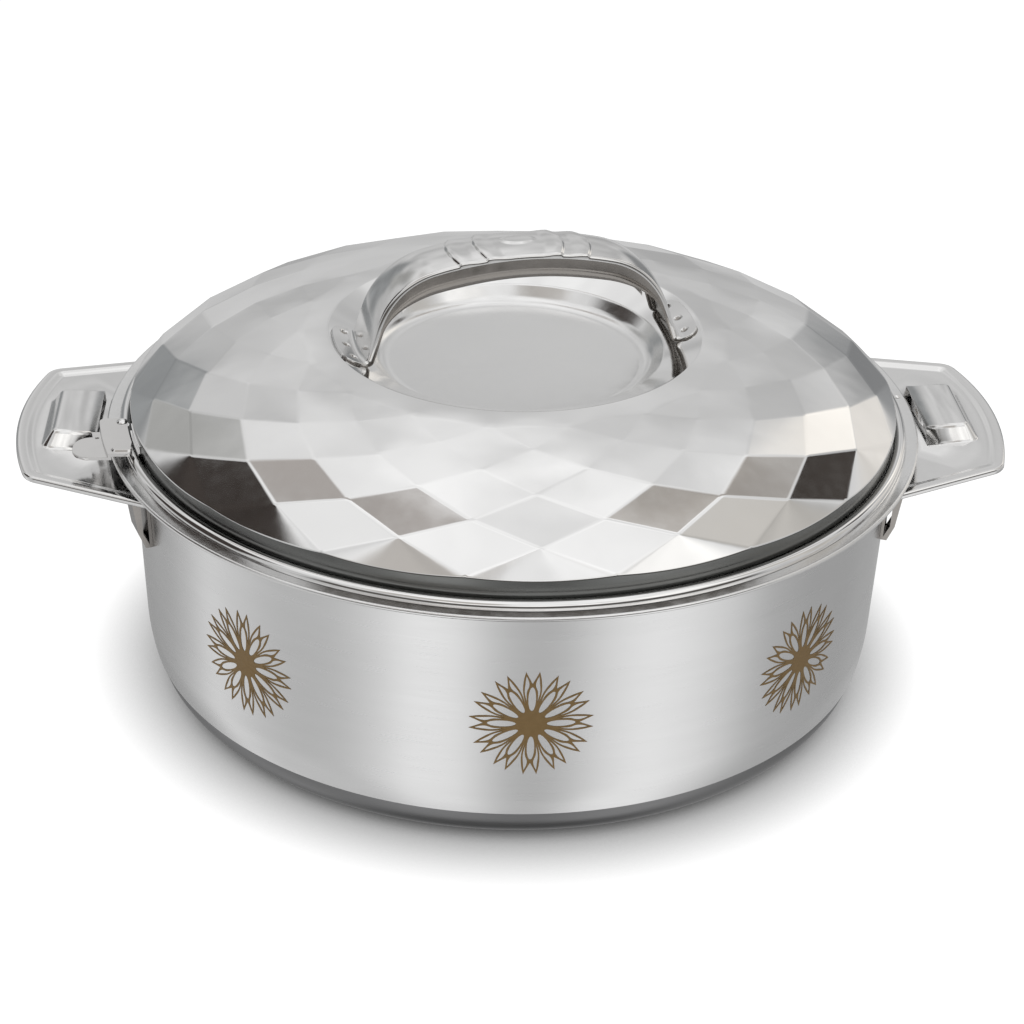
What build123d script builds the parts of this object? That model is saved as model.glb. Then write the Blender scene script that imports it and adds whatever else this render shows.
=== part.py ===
"""Insulated chapati casserole: double-walled steel pot with a lift-off faceted lid and a swivel latch.

Millimetres. +Z is up, the origin is the centre of the base on the surface it stands on, and the
side handles lie along X, with the latch at -X.
"""
import os
from math import asin, cos, degrees, pi, radians, sin, sqrt, tan

from build123d import *

# ---- sheet and fits ---------------------------------------------------------------------------
SHEET = 0.8              # steel sheet of the shell, base cap, lid and strap
BOWL_SHEET = 0.7         # steel sheet of the bowl
LINER_SHEET = 0.6        # steel sheet under the lid
HANDLE_SHEET = 1.0       # steel sheet of the side handles, legs and latch
WELD_GAP = 0.05          # space between two sheets that are welded or pressed together
PIN_CLEARANCE = 0.05     # radial clearance of a rivet's shank in its hole
LID_SEAT_GAP = 0.25      # space between the lid's skirt and the ledge it sits on
SLIDE_GAP = 0.3          # space between the lid or the latch and what stays still beside it
FOAM_GAP = 0.2           # space between the foam and the sheet round it

# ---- pot --------------------------------------------------------------------------------------
SHELL_R = 120.6          # outer radius of the shell at its top edge
SHELL_TOP_Z = 84.0       # height of the shell's top edge
SHELL_DRAFT = 1.9        # radius lost from the top edge down to the start of the lower curve
CURVE_Z = 23.0           # height at which the shell starts to curve in
CURVE_DRAFT = 1.3        # radius lost from there down to the base cap
CAP_TOP_Z = 12.2         # height of the joint between the shell and the base cap
CAP_CORNER_R = 10.5      # rounded corner of the base cap
CAP_LIP = 1.4            # height of the cap's lip inside the shell
FOOT_RING_W = 22.0       # width of the flat ring that the pot rests on
FOOT_RECESS = 1.0        # rise of the base inside that ring
INSULATION = 11.0        # space between the shell and the bowl
BOWL_FLOOR_Z = 13.6      # height of the bowl's inner floor
BOWL_CORNER_R = 15.0     # rounded corner between the bowl's floor and wall, on the inside
BOWL_LIP_R = 3.7         # rounded edge between the bowl's wall and the ledge
RING_LAP = 4.0           # how far the rim ring reaches in over the shell's top edge
RING_OVERHANG = 7.4      # how far the rim ring reaches out beyond it
RING_T = 1.2             # thickness of the rim ring
HEM_R = 0.7              # radius of the rolled hem on the ring's edge
BEAD_INSET = 0.4         # radial step from the shell's top edge in to the bead's inner side
BEAD_W = 3.9             # width of the rolled bead on the bowl's rim
BEAD_H = 2.35            # height of that bead above the ring

# ---- lid --------------------------------------------------------------------------------------
LID_TURN = 10.0          # turn of the lid's handle against the side handles, in degrees
SKIRT_H = 6.8            # height of the lid's skirt
SKIRT_FLARE = 0.9        # how far the skirt's top stands out beyond its foot
SKIRT_GAP = 0.7          # radial gap between the skirt's foot and the bead
FACETS = 18              # facets in one row round the dome
ROW_WIDTHS = (6.8, 7.5, 9.4, 9.3, 9.9, 9.6)    # radial width of each row of facets, going inwards
FIRST_ROW_RISE = 6.0     # height gained over the outermost row
BAND_W = 9.3             # width of the smooth band between the facets and the dish
BAND_RISE = 0.8          # height gained over that band
SEAT_W = 12.0            # width of the sloped seat that carries the handle's feet
SEAT_DROP = 5.4          # height lost over that seat
DISH_WALL_W = 4.5        # width of the dish's steep wall
DISH_WALL_DROP = 5.0     # height lost over that wall
PLUG_GAP = 1.6           # radial gap between the lid's plug and the bowl's wall
PLUG_DEPTH = 6.0         # how far the plug reaches down below the skirt
PLUG_CORNER_R = 3.0      # rounded corner of the plug

# ---- lid handle -------------------------------------------------------------------------------
GRIP_RISE = 28.1         # height of the strap's edge above the edge of the dish
GRIP_W = 20.0            # width of the strap
GRIP_DEPTH = 6.0         # depth of the strap's side flanges
GRIP_CROWN = 1.1         # extra height along the middle of the strap
GRIP_ARC_DROP = 3.4      # height lost over the flat arc on each side of the top
CORNER_W = 18.3          # width of the rounded corner between that arc and a leg
CORNER_DROP = 17.1       # height lost over that corner
LEG_INSET = 12.3         # distance from the edge of the dish in to the top of a leg
FOOT_W = 27.0            # width of a foot
FOOT_LENGTH = 10.5       # length of a foot along the seat
FOOT_MARGIN = 0.6        # distance from a foot to the edge of the dish
WELD_DIMPLE_R = 1.5      # radius of the spot-weld dimples on a foot
WELD_DIMPLE_DEPTH = 0.3  # depth of those dimples
WELD_DIMPLE_PITCH = 9.0  # distance between them
WELD_DIMPLE_INSET = 3.6  # distance from a foot's end to the row of dimples
LINER_INSET = 8.3        # distance from the top of a leg in to the end of the strip under the grip

# ---- side handles -----------------------------------------------------------------------------
HANDLE_DROP = 3.6        # distance from the shell's top edge down to a side handle's inner edge
HANDLE_TILT = 4.0        # upward tilt of a side handle towards its outer edge, in degrees
HANDLE_REACH = 35.6      # how far a side handle stands out beyond the shell
OUTER_BULGE = 6.2        # how far its curved outer edge bulges beyond its corners
CORNER_HALF = 37.5       # half of its width at the outer corners
ROOT_HALF = 52.5         # half of its width at the shell
OUTER_CORNER_R = 7.0     # rounding of the outer corners
HEM_DEPTH = 1.8          # depth of the turned-down edge
BORDER_W = 3.6           # width of the flat border
PANEL_SINK = 0.9         # depth of the sunken panel
FLANGE_DEPTH = 3.7       # depth of the flange that is welded to the shell
BOSS_OFFSET = 9.7        # distance from the shell out to the boss's open end
BOSS_LIP = 2.8           # how far the panel reaches in under the boss at that end
BOSS_LENGTH = 17.0       # length of the boss at its foot
BOSS_NEAR_HALF = 18.2    # half of its width at the open end
BOSS_FAR_HALF = 17.5     # half of its width at the outer end
BOSS_H = 5.1             # height of the boss above the panel
BOSS_SIDE_LEAN = 3.4     # how far its sides lean in over that height
BOSS_NEAR_LEAN = 0.3     # how far its open end leans out
BOSS_FAR_LEAN = 3.6      # how far its outer end leans in
LEG_ANGLE = 18.5         # angle between a leg and the handle's axis, in degrees
LEG_W = 9.0              # width of a leg
LEG_H = 18.0             # height of a leg
LEG_TOP_DEPTH = 5.5      # how far a leg stands out from the shell at its top
LEG_KNEE_H = 5.0         # height of the knee where a leg bends in towards its foot
LEG_KNEE_DEPTH = 4.1     # how far it stands out at the knee
LEG_FOOT_DEPTH = 2.2     # how far it stands out at its foot
LEG_SLOT = 1.6           # space between a leg's cheeks and its back plate above the knee

# ---- latch and rivets -------------------------------------------------------------------------
PIVOT_Y = 15.0           # distance of the latch rivet from the side handles' axis
PIVOT_INSET = 1.0        # distance of the rivet from the bead's outer side
RIVET_R = 1.2            # shank radius of the latch rivet
RIVET_HEAD_R = 1.8       # head radius of the latch rivet
RIVET_HEAD_H = 0.9       # height of that head
WASHER_R = 2.2           # radius of the washer under the latch
WASHER_T = 0.4           # thickness of that washer
LATCH_BACK = 2.4         # length of the latch behind its rivet
LATCH_LENGTH = 21.4      # length of the latch in front of its rivet
LATCH_LID_GAP = 1.2      # radial gap between the latch and the lid's edge
LATCH_EDGE_INSET = 4.0   # distance from the rivet in to the straight inner edge in front of it
LATCH_STEP_GAP = 1.0     # radial gap between the rim ring and the step in the latch
LATCH_STEP = 1.2         # height of that step
TAB_REACH = 8.0          # how far the finger tab stands out beyond the rim ring
STRIP_W = 2.6            # width of the flange along the foot of that step
STRIP_BACK = 4.5         # distance from the rivet forward to that flange's near end
TAB_BACK = 8.0           # distance from the rivet forward to the tab's near side
TAB_CORNER_R = 5.5       # rounding of the tab's corners
LATCH_HOLE_R = 0.6       # radius of the small hole in the latch's lower flange
LATCH_HOLE_Y = 23.6      # distance of that hole from the side handles' axis
PRESS_DIMPLE_L = 6.8     # length of the long dimple across the latch
PRESS_DIMPLE_W = 3.4     # width of that dimple
PRESS_DIMPLE_H = 0.6     # height of that dimple
PRESS_DIMPLE_END = 2.6   # distance from the latch's front edge back to the dimple's middle
LUG_NEAR_Y = 19.5        # distance of the lid lug's near end from the side handles' axis
LUG_FAR_Y = 35.0         # distance of its far end
LUG_REACH = 1.4          # how far the lug stands out from the skirt
LUG_UPSTAND = 3.0        # height of the lug's leaf on the skirt
RIM_RIVET_Y = 6.5        # distance of the rim rivet from the side handles' axis
RIM_RIVET_R = 0.8        # shank radius of the rim rivet
RIM_RIVET_HEAD_R = 1.2   # head radius of the rim rivet
RIM_RIVET_HEAD_H = 0.7   # height of that head

# ---- pot sizes that follow ---------------------------------------------------------------------
CURVE_R = SHELL_R - SHELL_DRAFT
CAP_R = CURVE_R - CURVE_DRAFT
CAP_LIP_R = CAP_R - SHEET - WELD_GAP
FOOT_OUT_R = CAP_R - CAP_CORNER_R
FOOT_IN_R = FOOT_OUT_R - FOOT_RING_W
BOWL_R = SHELL_R - SHEET - INSULATION
BOWL_IN_R = BOWL_R - BOWL_SHEET
RING_Z = SHELL_TOP_Z + WELD_GAP
RING_TOP_Z = RING_Z + RING_T
RING_R = SHELL_R + RING_OVERHANG
BEAD_IN_R = SHELL_R - BEAD_INSET
BEAD_OUT_R = BEAD_IN_R + BEAD_W
BEAD_TOP_Z = RING_TOP_Z + BEAD_H
LEDGE_Z = RING_TOP_Z + WELD_GAP + BOWL_SHEET


def shell_radius(z):
    """Outer radius of the shell's tapered wall at height z."""
    return SHELL_R - SHELL_DRAFT * (SHELL_TOP_Z - z) / (SHELL_TOP_Z - CURVE_Z)


# ---- lid sizes that follow ---------------------------------------------------------------------
SKIRT_R = BEAD_IN_R - SKIRT_GAP
SKIRT_Z = LEDGE_Z + LID_SEAT_GAP
LID_R = SKIRT_R + SKIRT_FLARE
LID_EDGE_Z = SKIRT_Z + SKIRT_H


def facet_rings():
    """Radius and height of each ring of facet corners, from the skirt's top edge inwards.

    Corners on neighbouring rings lie half a facet apart, and each height keeps the four corners
    of a facet in one plane.
    """
    rings = [(LID_R, LID_EDGE_Z), (LID_R - ROW_WIDTHS[0], LID_EDGE_Z + FIRST_ROW_RISE)]
    for width in ROW_WIDTHS[1:]:
        (outer_r, outer_z), (middle_r, middle_z) = rings[-2:]
        slope = (middle_z - outer_z) / (middle_r * cos(pi / FACETS) - outer_r)
        inner_r = middle_r - width
        rings.append((inner_r, outer_z + slope * (inner_r - outer_r)))
    return rings


RINGS = facet_rings()
DISH_EDGE_R = RINGS[-1][0] - BAND_W
DISH_EDGE_Z = RINGS[-1][1] + BAND_RISE
SEAT_IN_R = DISH_EDGE_R - SEAT_W
SEAT_IN_Z = DISH_EDGE_Z - SEAT_DROP
SEAT_SLOPE = SEAT_DROP / SEAT_W
DISH_R = SEAT_IN_R - DISH_WALL_W
DISH_Z = SEAT_IN_Z - DISH_WALL_DROP
PLUG_R = BOWL_IN_R - PLUG_GAP
PLUG_Z = SKIRT_Z - PLUG_DEPTH
LID_LINER_Z = SKIRT_Z + WELD_GAP

GRIP_Z = DISH_EDGE_Z + GRIP_RISE
LEG_TOP_X = DISH_EDGE_R - LEG_INSET
CORNER_X = LEG_TOP_X - CORNER_W
FOOT_OUT_X = DISH_EDGE_R - FOOT_MARGIN
FOOT_IN_X = FOOT_OUT_X - FOOT_LENGTH

# ---- side handle and latch sizes that follow ---------------------------------------------------
HANDLE_Z = SHELL_TOP_Z - HANDLE_DROP
HANDLE_ROOT_R = shell_radius(HANDLE_Z) + WELD_GAP
HANDLE_TIP_X = SHELL_R + HANDLE_REACH
PANEL_Z = HANDLE_Z - PANEL_SINK
PANEL_UNDER_Z = PANEL_Z - HANDLE_SHEET
BOSS_TOP_Z = PANEL_Z + BOSS_H
FLANGE_Z = HANDLE_Z - FLANGE_DEPTH
LEG_DROP = tan(radians(HANDLE_TILT)) * SHELL_R * (1 - cos(radians(LEG_ANGLE)))
LEG_TOP_Z = PANEL_UNDER_Z - WELD_GAP - LEG_DROP
LEG_PLATE_TOP_Z = FLANGE_Z - SLIDE_GAP - LEG_DROP

PIVOT_R = BEAD_OUT_R - PIVOT_INSET
PIVOT_X = -sqrt(PIVOT_R**2 - PIVOT_Y**2)
WASHER_Z = BEAD_TOP_Z + WELD_GAP
LATCH_Z = WASHER_Z + WASHER_T + WELD_GAP
LATCH_TOP_Z = LATCH_Z + HANDLE_SHEET
LATCH_IN_R = LID_R + LATCH_LID_GAP
LATCH_IN_X = -PIVOT_X - LATCH_EDGE_INSET
LATCH_STEP_R = RING_R + LATCH_STEP_GAP
TAB_Z = LATCH_Z - LATCH_STEP
LATCH_FRONT_Y = -(PIVOT_Y + LATCH_LENGTH)
LUG_Z = BEAD_TOP_Z + SLIDE_GAP
RIM_RIVET_POS_R = (BEAD_OUT_R + RING_R - 2 * HEM_R) / 2
RIM_RIVET_X = sqrt(RIM_RIVET_POS_R**2 - RIM_RIVET_Y**2)

PIECES = []


def keep(piece, label):
    """Label a finished piece and put it on the list of pieces to write."""
    piece.label = label
    PIECES.append(piece)


def radial_plane(azimuth):
    """Upright plane through Z: its own X points outwards at this azimuth, and its own Y is up."""
    turn = radians(azimuth)
    return Plane((0, 0, 0), x_dir=(cos(turn), sin(turn), 0), z_dir=(sin(turn), -cos(turn), 0))


# ---- outer shell: tapered wall that curves in above the base cap --------------------------------
with BuildPart() as outer_shell:
    with BuildSketch(Plane.XZ):
        with BuildLine():
            wall = Line((SHELL_R, SHELL_TOP_Z), (CURVE_R, CURVE_Z))
            TangentArc((CURVE_R, CURVE_Z), (CAP_R, CAP_TOP_Z), tangent=wall % 1)
            offset(amount=SHEET, side=Side.RIGHT, closed=True)
        make_face()
    revolve(axis=Axis.Z)
keep(outer_shell.part, "outer_shell")

# ---- base cap: lip inside the shell, rounded corner, foot ring and recessed middle --------------
with BuildPart() as base_cap:
    with BuildSketch(Plane.XZ):
        with BuildLine():
            FilletPolyline(
                (CAP_LIP_R, CAP_TOP_Z + CAP_LIP),
                (CAP_LIP_R, CAP_TOP_Z - WELD_GAP),
                (CAP_R, CAP_TOP_Z - WELD_GAP),
                (CAP_R, 0),
                (FOOT_IN_R, 0),
                (FOOT_IN_R - FOOT_RECESS, FOOT_RECESS),
                (0, FOOT_RECESS),
                radius=(0, 0, CAP_CORNER_R, 0, 0),
            )
            offset(amount=SHEET, side=Side.RIGHT, closed=True)
        make_face()
    revolve(axis=Axis.Z)
keep(base_cap.part, "base_cap")

# ---- rim ring: flat ring with a rolled hem, holed for the two rivets ----------------------------
with BuildPart() as rim_ring:
    with BuildSketch(Plane.XZ):
        with BuildLine():
            Polyline(
                (SHELL_R - RING_LAP, RING_Z),
                (RING_R - HEM_R, RING_Z),
                (RING_R - HEM_R, RING_TOP_Z),
                (SHELL_R - RING_LAP, RING_TOP_Z),
                close=True,
            )
        make_face()
        with Locations((RING_R - HEM_R, RING_Z + RING_T / 2)):
            Circle(HEM_R)
    revolve(axis=Axis.Z)
    with Locations((PIVOT_X, -PIVOT_Y, RING_TOP_Z)):
        Hole(RIVET_R + PIN_CLEARANCE, depth=2 * RING_T)
    with Locations((RIM_RIVET_X, RIM_RIVET_Y, RING_TOP_Z)):
        Hole(RIM_RIVET_R + PIN_CLEARANCE, depth=2 * RING_T)
keep(rim_ring.part, "rim_ring")

# ---- inner bowl: rolled bead, ledge for the lid, wall and floor ----------------------------------
with BuildPart() as inner_bowl:
    with BuildSketch(Plane.XZ):
        with BuildLine():
            bead_foot_z = RING_TOP_Z + WELD_GAP
            bead_middle_r = (BEAD_IN_R + BEAD_OUT_R) / 2
            Line((BEAD_OUT_R, bead_foot_z), (BEAD_OUT_R, LEDGE_Z))
            ThreePointArc((BEAD_OUT_R, LEDGE_Z), (bead_middle_r, BEAD_TOP_Z), (BEAD_IN_R, LEDGE_Z))
            FilletPolyline(
                (BEAD_IN_R, LEDGE_Z),
                (BOWL_IN_R, LEDGE_Z),
                (BOWL_IN_R, BOWL_FLOOR_Z),
                (0, BOWL_FLOOR_Z),
                radius=(BOWL_LIP_R, BOWL_CORNER_R),
            )
            offset(amount=BOWL_SHEET, side=Side.RIGHT, closed=True)
        make_face()
    revolve(axis=Axis.Z)
    with Locations((PIVOT_X, -PIVOT_Y, BEAD_TOP_Z)):
        Hole(RIVET_R + PIN_CLEARANCE, depth=2 * BEAD_H)
keep(inner_bowl.part, "inner_bowl")

# ---- foam between the shell and the bowl ---------------------------------------------------------
with BuildPart() as pot_insulation:
    with BuildSketch(Plane.XZ):
        with BuildLine():
            foam_base_z = FOOT_RECESS + SHEET + FOAM_GAP
            foam_top_z = LEDGE_Z - BOWL_LIP_R - FOAM_GAP
            foam_in_r = BOWL_R + FOAM_GAP
            FilletPolyline(
                (0, foam_base_z),
                (CAP_LIP_R - SHEET - FOAM_GAP, foam_base_z),
                (CAP_LIP_R - SHEET - FOAM_GAP, CAP_TOP_Z + CAP_LIP + FOAM_GAP),
                (shell_radius(CURVE_Z) - SHEET - FOAM_GAP, CURVE_Z),
                (shell_radius(foam_top_z) - SHEET - FOAM_GAP, foam_top_z),
                (foam_in_r, foam_top_z),
                (foam_in_r, BOWL_FLOOR_Z - BOWL_SHEET - FOAM_GAP),
                (0, BOWL_FLOOR_Z - BOWL_SHEET - FOAM_GAP),
                close=True,
                radius=(0, CAP_CORNER_R, 0, 0, 0, 0, BOWL_CORNER_R + BOWL_SHEET + FOAM_GAP, 0),
            )
        make_face()
    revolve(axis=Axis.Z)
keep(pot_insulation.part, "pot_insulation")


# ---- side handles: pressed sheet with a turned-down edge, sunken panel and hollow boss -----------
def boss_outline(inset, near_lean, far_lean, side_lean):
    """Corners of the boss's plan, drawn in by inset on all sides but the open one."""
    near_x = SHELL_R + BOSS_OFFSET + near_lean - 2 * inset
    far_x = SHELL_R + BOSS_OFFSET + BOSS_LENGTH - far_lean - inset
    near_half = BOSS_NEAR_HALF - side_lean - inset
    far_half = BOSS_FAR_HALF - side_lean - inset
    return [(near_x, -near_half), (far_x, -far_half), (far_x, far_half), (near_x, near_half)]


with BuildSketch() as handle_plan:
    with BuildLine():
        root_x = sqrt(HANDLE_ROOT_R**2 - ROOT_HALF**2)
        corner_x = HANDLE_TIP_X - OUTER_BULGE
        Line((corner_x, -CORNER_HALF), (root_x, -ROOT_HALF))
        Line((root_x, -ROOT_HALF), (root_x, ROOT_HALF))
        Line((root_x, ROOT_HALF), (corner_x, CORNER_HALF))
        ThreePointArc((corner_x, CORNER_HALF), (HANDLE_TIP_X, 0), (corner_x, -CORNER_HALF))
    make_face()
    Circle(HANDLE_ROOT_R, mode=Mode.SUBTRACT)
    fillet(handle_plan.vertices().group_by(Axis.X)[-1], OUTER_CORNER_R)
handle_sketch = handle_plan.sketch
hem_inner = offset(handle_sketch, -HANDLE_SHEET, kind=Kind.INTERSECTION)
panel_sketch = offset(handle_sketch, -BORDER_W, kind=Kind.INTERSECTION)
panel_wall = offset(handle_sketch, HANDLE_SHEET - BORDER_W, kind=Kind.INTERSECTION)

flange_ring_r = HANDLE_ROOT_R + HANDLE_SHEET

with BuildPart() as side_handle:
    with BuildSketch(Plane.XY.offset(HANDLE_Z - HEM_DEPTH)):
        add(handle_sketch)
    extrude(amount=HEM_DEPTH)
    with BuildSketch(Plane.XY.offset(HANDLE_Z - HANDLE_SHEET)):
        add(hem_inner)
    extrude(amount=-HEM_DEPTH, mode=Mode.SUBTRACT)
    with BuildSketch(Plane.XY.offset(PANEL_UNDER_Z)):
        add(panel_wall)
    extrude(amount=PANEL_SINK + HANDLE_SHEET / 2)
    with BuildSketch(Plane.XY.offset(PANEL_Z)):
        add(panel_sketch)
    extrude(amount=2 * PANEL_SINK, mode=Mode.SUBTRACT)
    with BuildSketch(Plane.XY.offset(FLANGE_Z)):
        Circle(flange_ring_r)
        Circle(HANDLE_ROOT_R, mode=Mode.SUBTRACT)
        add(handle_sketch, mode=Mode.INTERSECT)
    extrude(amount=FLANGE_DEPTH - HANDLE_SHEET / 2)
    for inset, boss_mode in ((0, Mode.ADD), (HANDLE_SHEET, Mode.SUBTRACT)):
        with BuildSketch(Plane.XY.offset(PANEL_UNDER_Z - inset)):
            Polygon(boss_outline(inset, 0, 0, 0), align=None)
        with BuildSketch(Plane.XY.offset(BOSS_TOP_Z - inset)):
            Polygon(boss_outline(inset, BOSS_NEAR_LEAN, BOSS_FAR_LEAN, BOSS_SIDE_LEAN), align=None)
        loft(mode=boss_mode)
    lip_start_x = SHELL_R + BOSS_OFFSET - 3 * HANDLE_SHEET
    lip_end_x = SHELL_R + BOSS_OFFSET + BOSS_LIP
    with BuildSketch(Plane.XY.offset(PANEL_UNDER_Z)):
        with Locations(((lip_start_x + lip_end_x) / 2, 0)):
            Rectangle(lip_end_x - lip_start_x, 2 * BOSS_NEAR_HALF - HANDLE_SHEET)
    extrude(amount=HANDLE_SHEET)
tilted_handle = side_handle.part.rotate(Axis((SHELL_R, 0, HANDLE_Z), (0, 1, 0)), -HANDLE_TILT)
keep(tilted_handle, "side_handle_right")
keep(tilted_handle.rotate(Axis.Z, 180), "side_handle_left")


# ---- handle legs: back plate on the shell and a bent channel up to the side handle ---------------
def handle_leg(azimuth, label):
    """One leg, with its middle at this azimuth."""
    foot_z = LEG_TOP_Z - LEG_H
    knee_z = foot_z + LEG_KNEE_H
    foot_r = shell_radius(foot_z)
    knee_r = shell_radius(knee_z)
    top_r = shell_radius(LEG_TOP_Z)
    slot_reach = WELD_GAP + HANDLE_SHEET + LEG_SLOT
    plate_r = shell_radius(LEG_PLATE_TOP_Z) + WELD_GAP
    plate_foot_r = foot_r + WELD_GAP
    half_turn = degrees(LEG_W / 2 / SHELL_R)
    with BuildPart() as leg:
        with BuildSketch(radial_plane(azimuth)):
            with BuildLine():
                Polyline(
                    (plate_foot_r + HANDLE_SHEET / 2, foot_z),
                    (foot_r + LEG_FOOT_DEPTH, foot_z),
                    (knee_r + LEG_KNEE_DEPTH, knee_z),
                    (top_r + LEG_TOP_DEPTH, LEG_TOP_Z),
                    (top_r + slot_reach, LEG_TOP_Z),
                    (knee_r + slot_reach, knee_z),
                    close=True,
                )
            make_face()
        extrude(amount=LEG_W / 2, both=True)
        with BuildSketch(radial_plane(azimuth)):
            with BuildLine():
                Polyline(
                    (foot_r, foot_z + HANDLE_SHEET),
                    (foot_r + LEG_FOOT_DEPTH - HANDLE_SHEET, foot_z + HANDLE_SHEET),
                    (knee_r + LEG_KNEE_DEPTH - HANDLE_SHEET, knee_z),
                    (top_r + LEG_TOP_DEPTH - HANDLE_SHEET, LEG_TOP_Z),
                    (top_r, LEG_TOP_Z),
                    close=True,
                )
            make_face()
        extrude(amount=LEG_W / 2 - HANDLE_SHEET, both=True, mode=Mode.SUBTRACT)
        with BuildSketch(radial_plane(azimuth - half_turn)):
            with BuildLine():
                Polyline(
                    (plate_foot_r, foot_z),
                    (plate_foot_r + HANDLE_SHEET, foot_z),
                    (plate_r + HANDLE_SHEET, LEG_PLATE_TOP_Z),
                    (plate_r, LEG_PLATE_TOP_Z),
                    close=True,
                )
            make_face()
        revolve(axis=Axis.Z, revolution_arc=2 * half_turn)
    keep(leg.part, label)


handle_leg(-LEG_ANGLE, "handle_leg_right_front")
handle_leg(LEG_ANGLE, "handle_leg_right_back")
handle_leg(180 + LEG_ANGLE, "handle_leg_left_front")
handle_leg(180 - LEG_ANGLE, "handle_leg_left_back")

# ---- lid dome: skirt, rows of facets, smooth band, sloped seat and dish in one pressed sheet -----
dome_points = [(SKIRT_R, SKIRT_Z), *RINGS]
dome_points += [(DISH_EDGE_R, DISH_EDGE_Z), (SEAT_IN_R, SEAT_IN_Z), (DISH_R, DISH_Z), (0, DISH_Z)]
with BuildPart() as lid_dome:
    with BuildSketch(Plane.XZ):
        with BuildLine():
            Polyline(*dome_points)
            offset(amount=SHEET, side=Side.LEFT, closed=True)
        make_face()
    revolve(axis=Axis.Z)
keep(lid_dome.part, "lid_dome")

# ---- lid liner: flange inside the skirt and a shallow plug in the bowl's mouth -------------------
with BuildPart() as lid_liner:
    with BuildSketch(Plane.XZ):
        with BuildLine():
            FilletPolyline(
                (SKIRT_R - SHEET - 2 * WELD_GAP, LID_LINER_Z),
                (PLUG_R, LID_LINER_Z),
                (PLUG_R, PLUG_Z),
                (0, PLUG_Z),
                radius=(PLUG_CORNER_R / 2, PLUG_CORNER_R),
            )
            offset(amount=LINER_SHEET, side=Side.RIGHT, closed=True)
        make_face()
    revolve(axis=Axis.Z)
keep(lid_liner.part, "lid_liner")

# ---- foam inside the lid -------------------------------------------------------------------------
with BuildPart() as lid_insulation:
    with BuildSketch(Plane.XZ):
        with BuildLine():
            foam_drop = 1.5 * (SHEET + FOAM_GAP)
            foam_out_r = SKIRT_R - SHEET - FOAM_GAP
            plug_foam_r = PLUG_R - LINER_SHEET - FOAM_GAP
            plug_foam_z = PLUG_Z + LINER_SHEET + FOAM_GAP
            flange_foam_z = LID_LINER_Z + LINER_SHEET + FOAM_GAP
            under_dome = [(r, z - foam_drop) for r, z in dome_points[2:]]
            corner_radii = [0] * (len(under_dome) + 2) + [PLUG_CORNER_R, 0, 0]
            FilletPolyline(
                (foam_out_r, LID_EDGE_Z),
                *under_dome,
                (0, plug_foam_z),
                (plug_foam_r, plug_foam_z),
                (plug_foam_r, flange_foam_z),
                (foam_out_r, flange_foam_z),
                close=True,
                radius=corner_radii,
            )
        make_face()
    revolve(axis=Axis.Z)
keep(lid_insulation.part, "lid_insulation")

# ---- line of the grip's middle, from its highest point to the foot at +X -------------------------
foot_line_z = SEAT_IN_Z + WELD_GAP + SHEET / 2
with BuildLine() as grip_arcs:
    grip_top = TangentArc((0, 0, GRIP_Z), (CORNER_X, 0, GRIP_Z - GRIP_ARC_DROP), tangent=(1, 0, 0))
    leg_top_z = GRIP_Z - GRIP_ARC_DROP - CORNER_DROP
    TangentArc(grip_top @ 1, (LEG_TOP_X, 0, leg_top_z), tangent=grip_top % 1)
grip_line = grip_arcs.wires()[0]
leg_lean = grip_line % 1
leg_rise = leg_top_z - foot_line_z - SEAT_SLOPE * (LEG_TOP_X - SEAT_IN_R)
leg_length = leg_rise / (SEAT_SLOPE * leg_lean.X - leg_lean.Z)
with BuildLine() as strap_path:
    add(grip_arcs.line)
    Line(grip_line @ 1, grip_line @ 1 + leg_lean * leg_length)

# ---- lid handle strap: crowned channel on two feet that follow the sloped seat -------------------
dimple_sphere_r = (WELD_DIMPLE_R**2 + WELD_DIMPLE_DEPTH**2) / (2 * WELD_DIMPLE_DEPTH)
dimple_x = FOOT_OUT_X - WELD_DIMPLE_INSET
dimple_seat_z = SEAT_IN_Z + SEAT_SLOPE * (dimple_x - SEAT_IN_R)
dimple_z = dimple_seat_z + WELD_GAP + SHEET + dimple_sphere_r - WELD_DIMPLE_DEPTH
with BuildPart() as lid_handle_strap:
    with BuildSketch(Plane.XZ):
        with BuildLine():
            Line(
                (FOOT_OUT_X, SEAT_IN_Z + SEAT_SLOPE * (FOOT_OUT_X - SEAT_IN_R) + WELD_GAP),
                (SEAT_IN_R, SEAT_IN_Z + WELD_GAP),
            )
            offset(amount=SHEET, side=Side.RIGHT, closed=True)
        make_face()
    revolve(axis=Axis.Z)
    with Locations(((FOOT_IN_X + FOOT_OUT_X) / 2, 0, DISH_EDGE_Z)):
        Box(FOOT_LENGTH, FOOT_W, 4 * SEAT_DROP, mode=Mode.INTERSECT)
    for row in (-1, 0, 1):
        lift = SEAT_SLOPE * (sqrt(dimple_x**2 + (row * WELD_DIMPLE_PITCH)**2) - dimple_x)
        with Locations((dimple_x, row * WELD_DIMPLE_PITCH, dimple_z + lift)):
            Sphere(dimple_sphere_r, mode=Mode.SUBTRACT)
    with BuildSketch(Plane.YZ):
        with BuildLine():
            half = GRIP_W / 2
            Line((-half, GRIP_Z - GRIP_DEPTH), (-half, GRIP_Z))
            ThreePointArc((-half, GRIP_Z), (0, GRIP_Z + GRIP_CROWN), (half, GRIP_Z))
            Line((half, GRIP_Z), (half, GRIP_Z - GRIP_DEPTH))
            offset(amount=SHEET, side=Side.RIGHT, closed=True)
        make_face()
    sweep(path=strap_path.wires()[0])
    mirror(about=Plane.YZ)
keep(lid_handle_strap.part.rotate(Axis.Z, LID_TURN), "lid_handle_strap")

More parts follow.
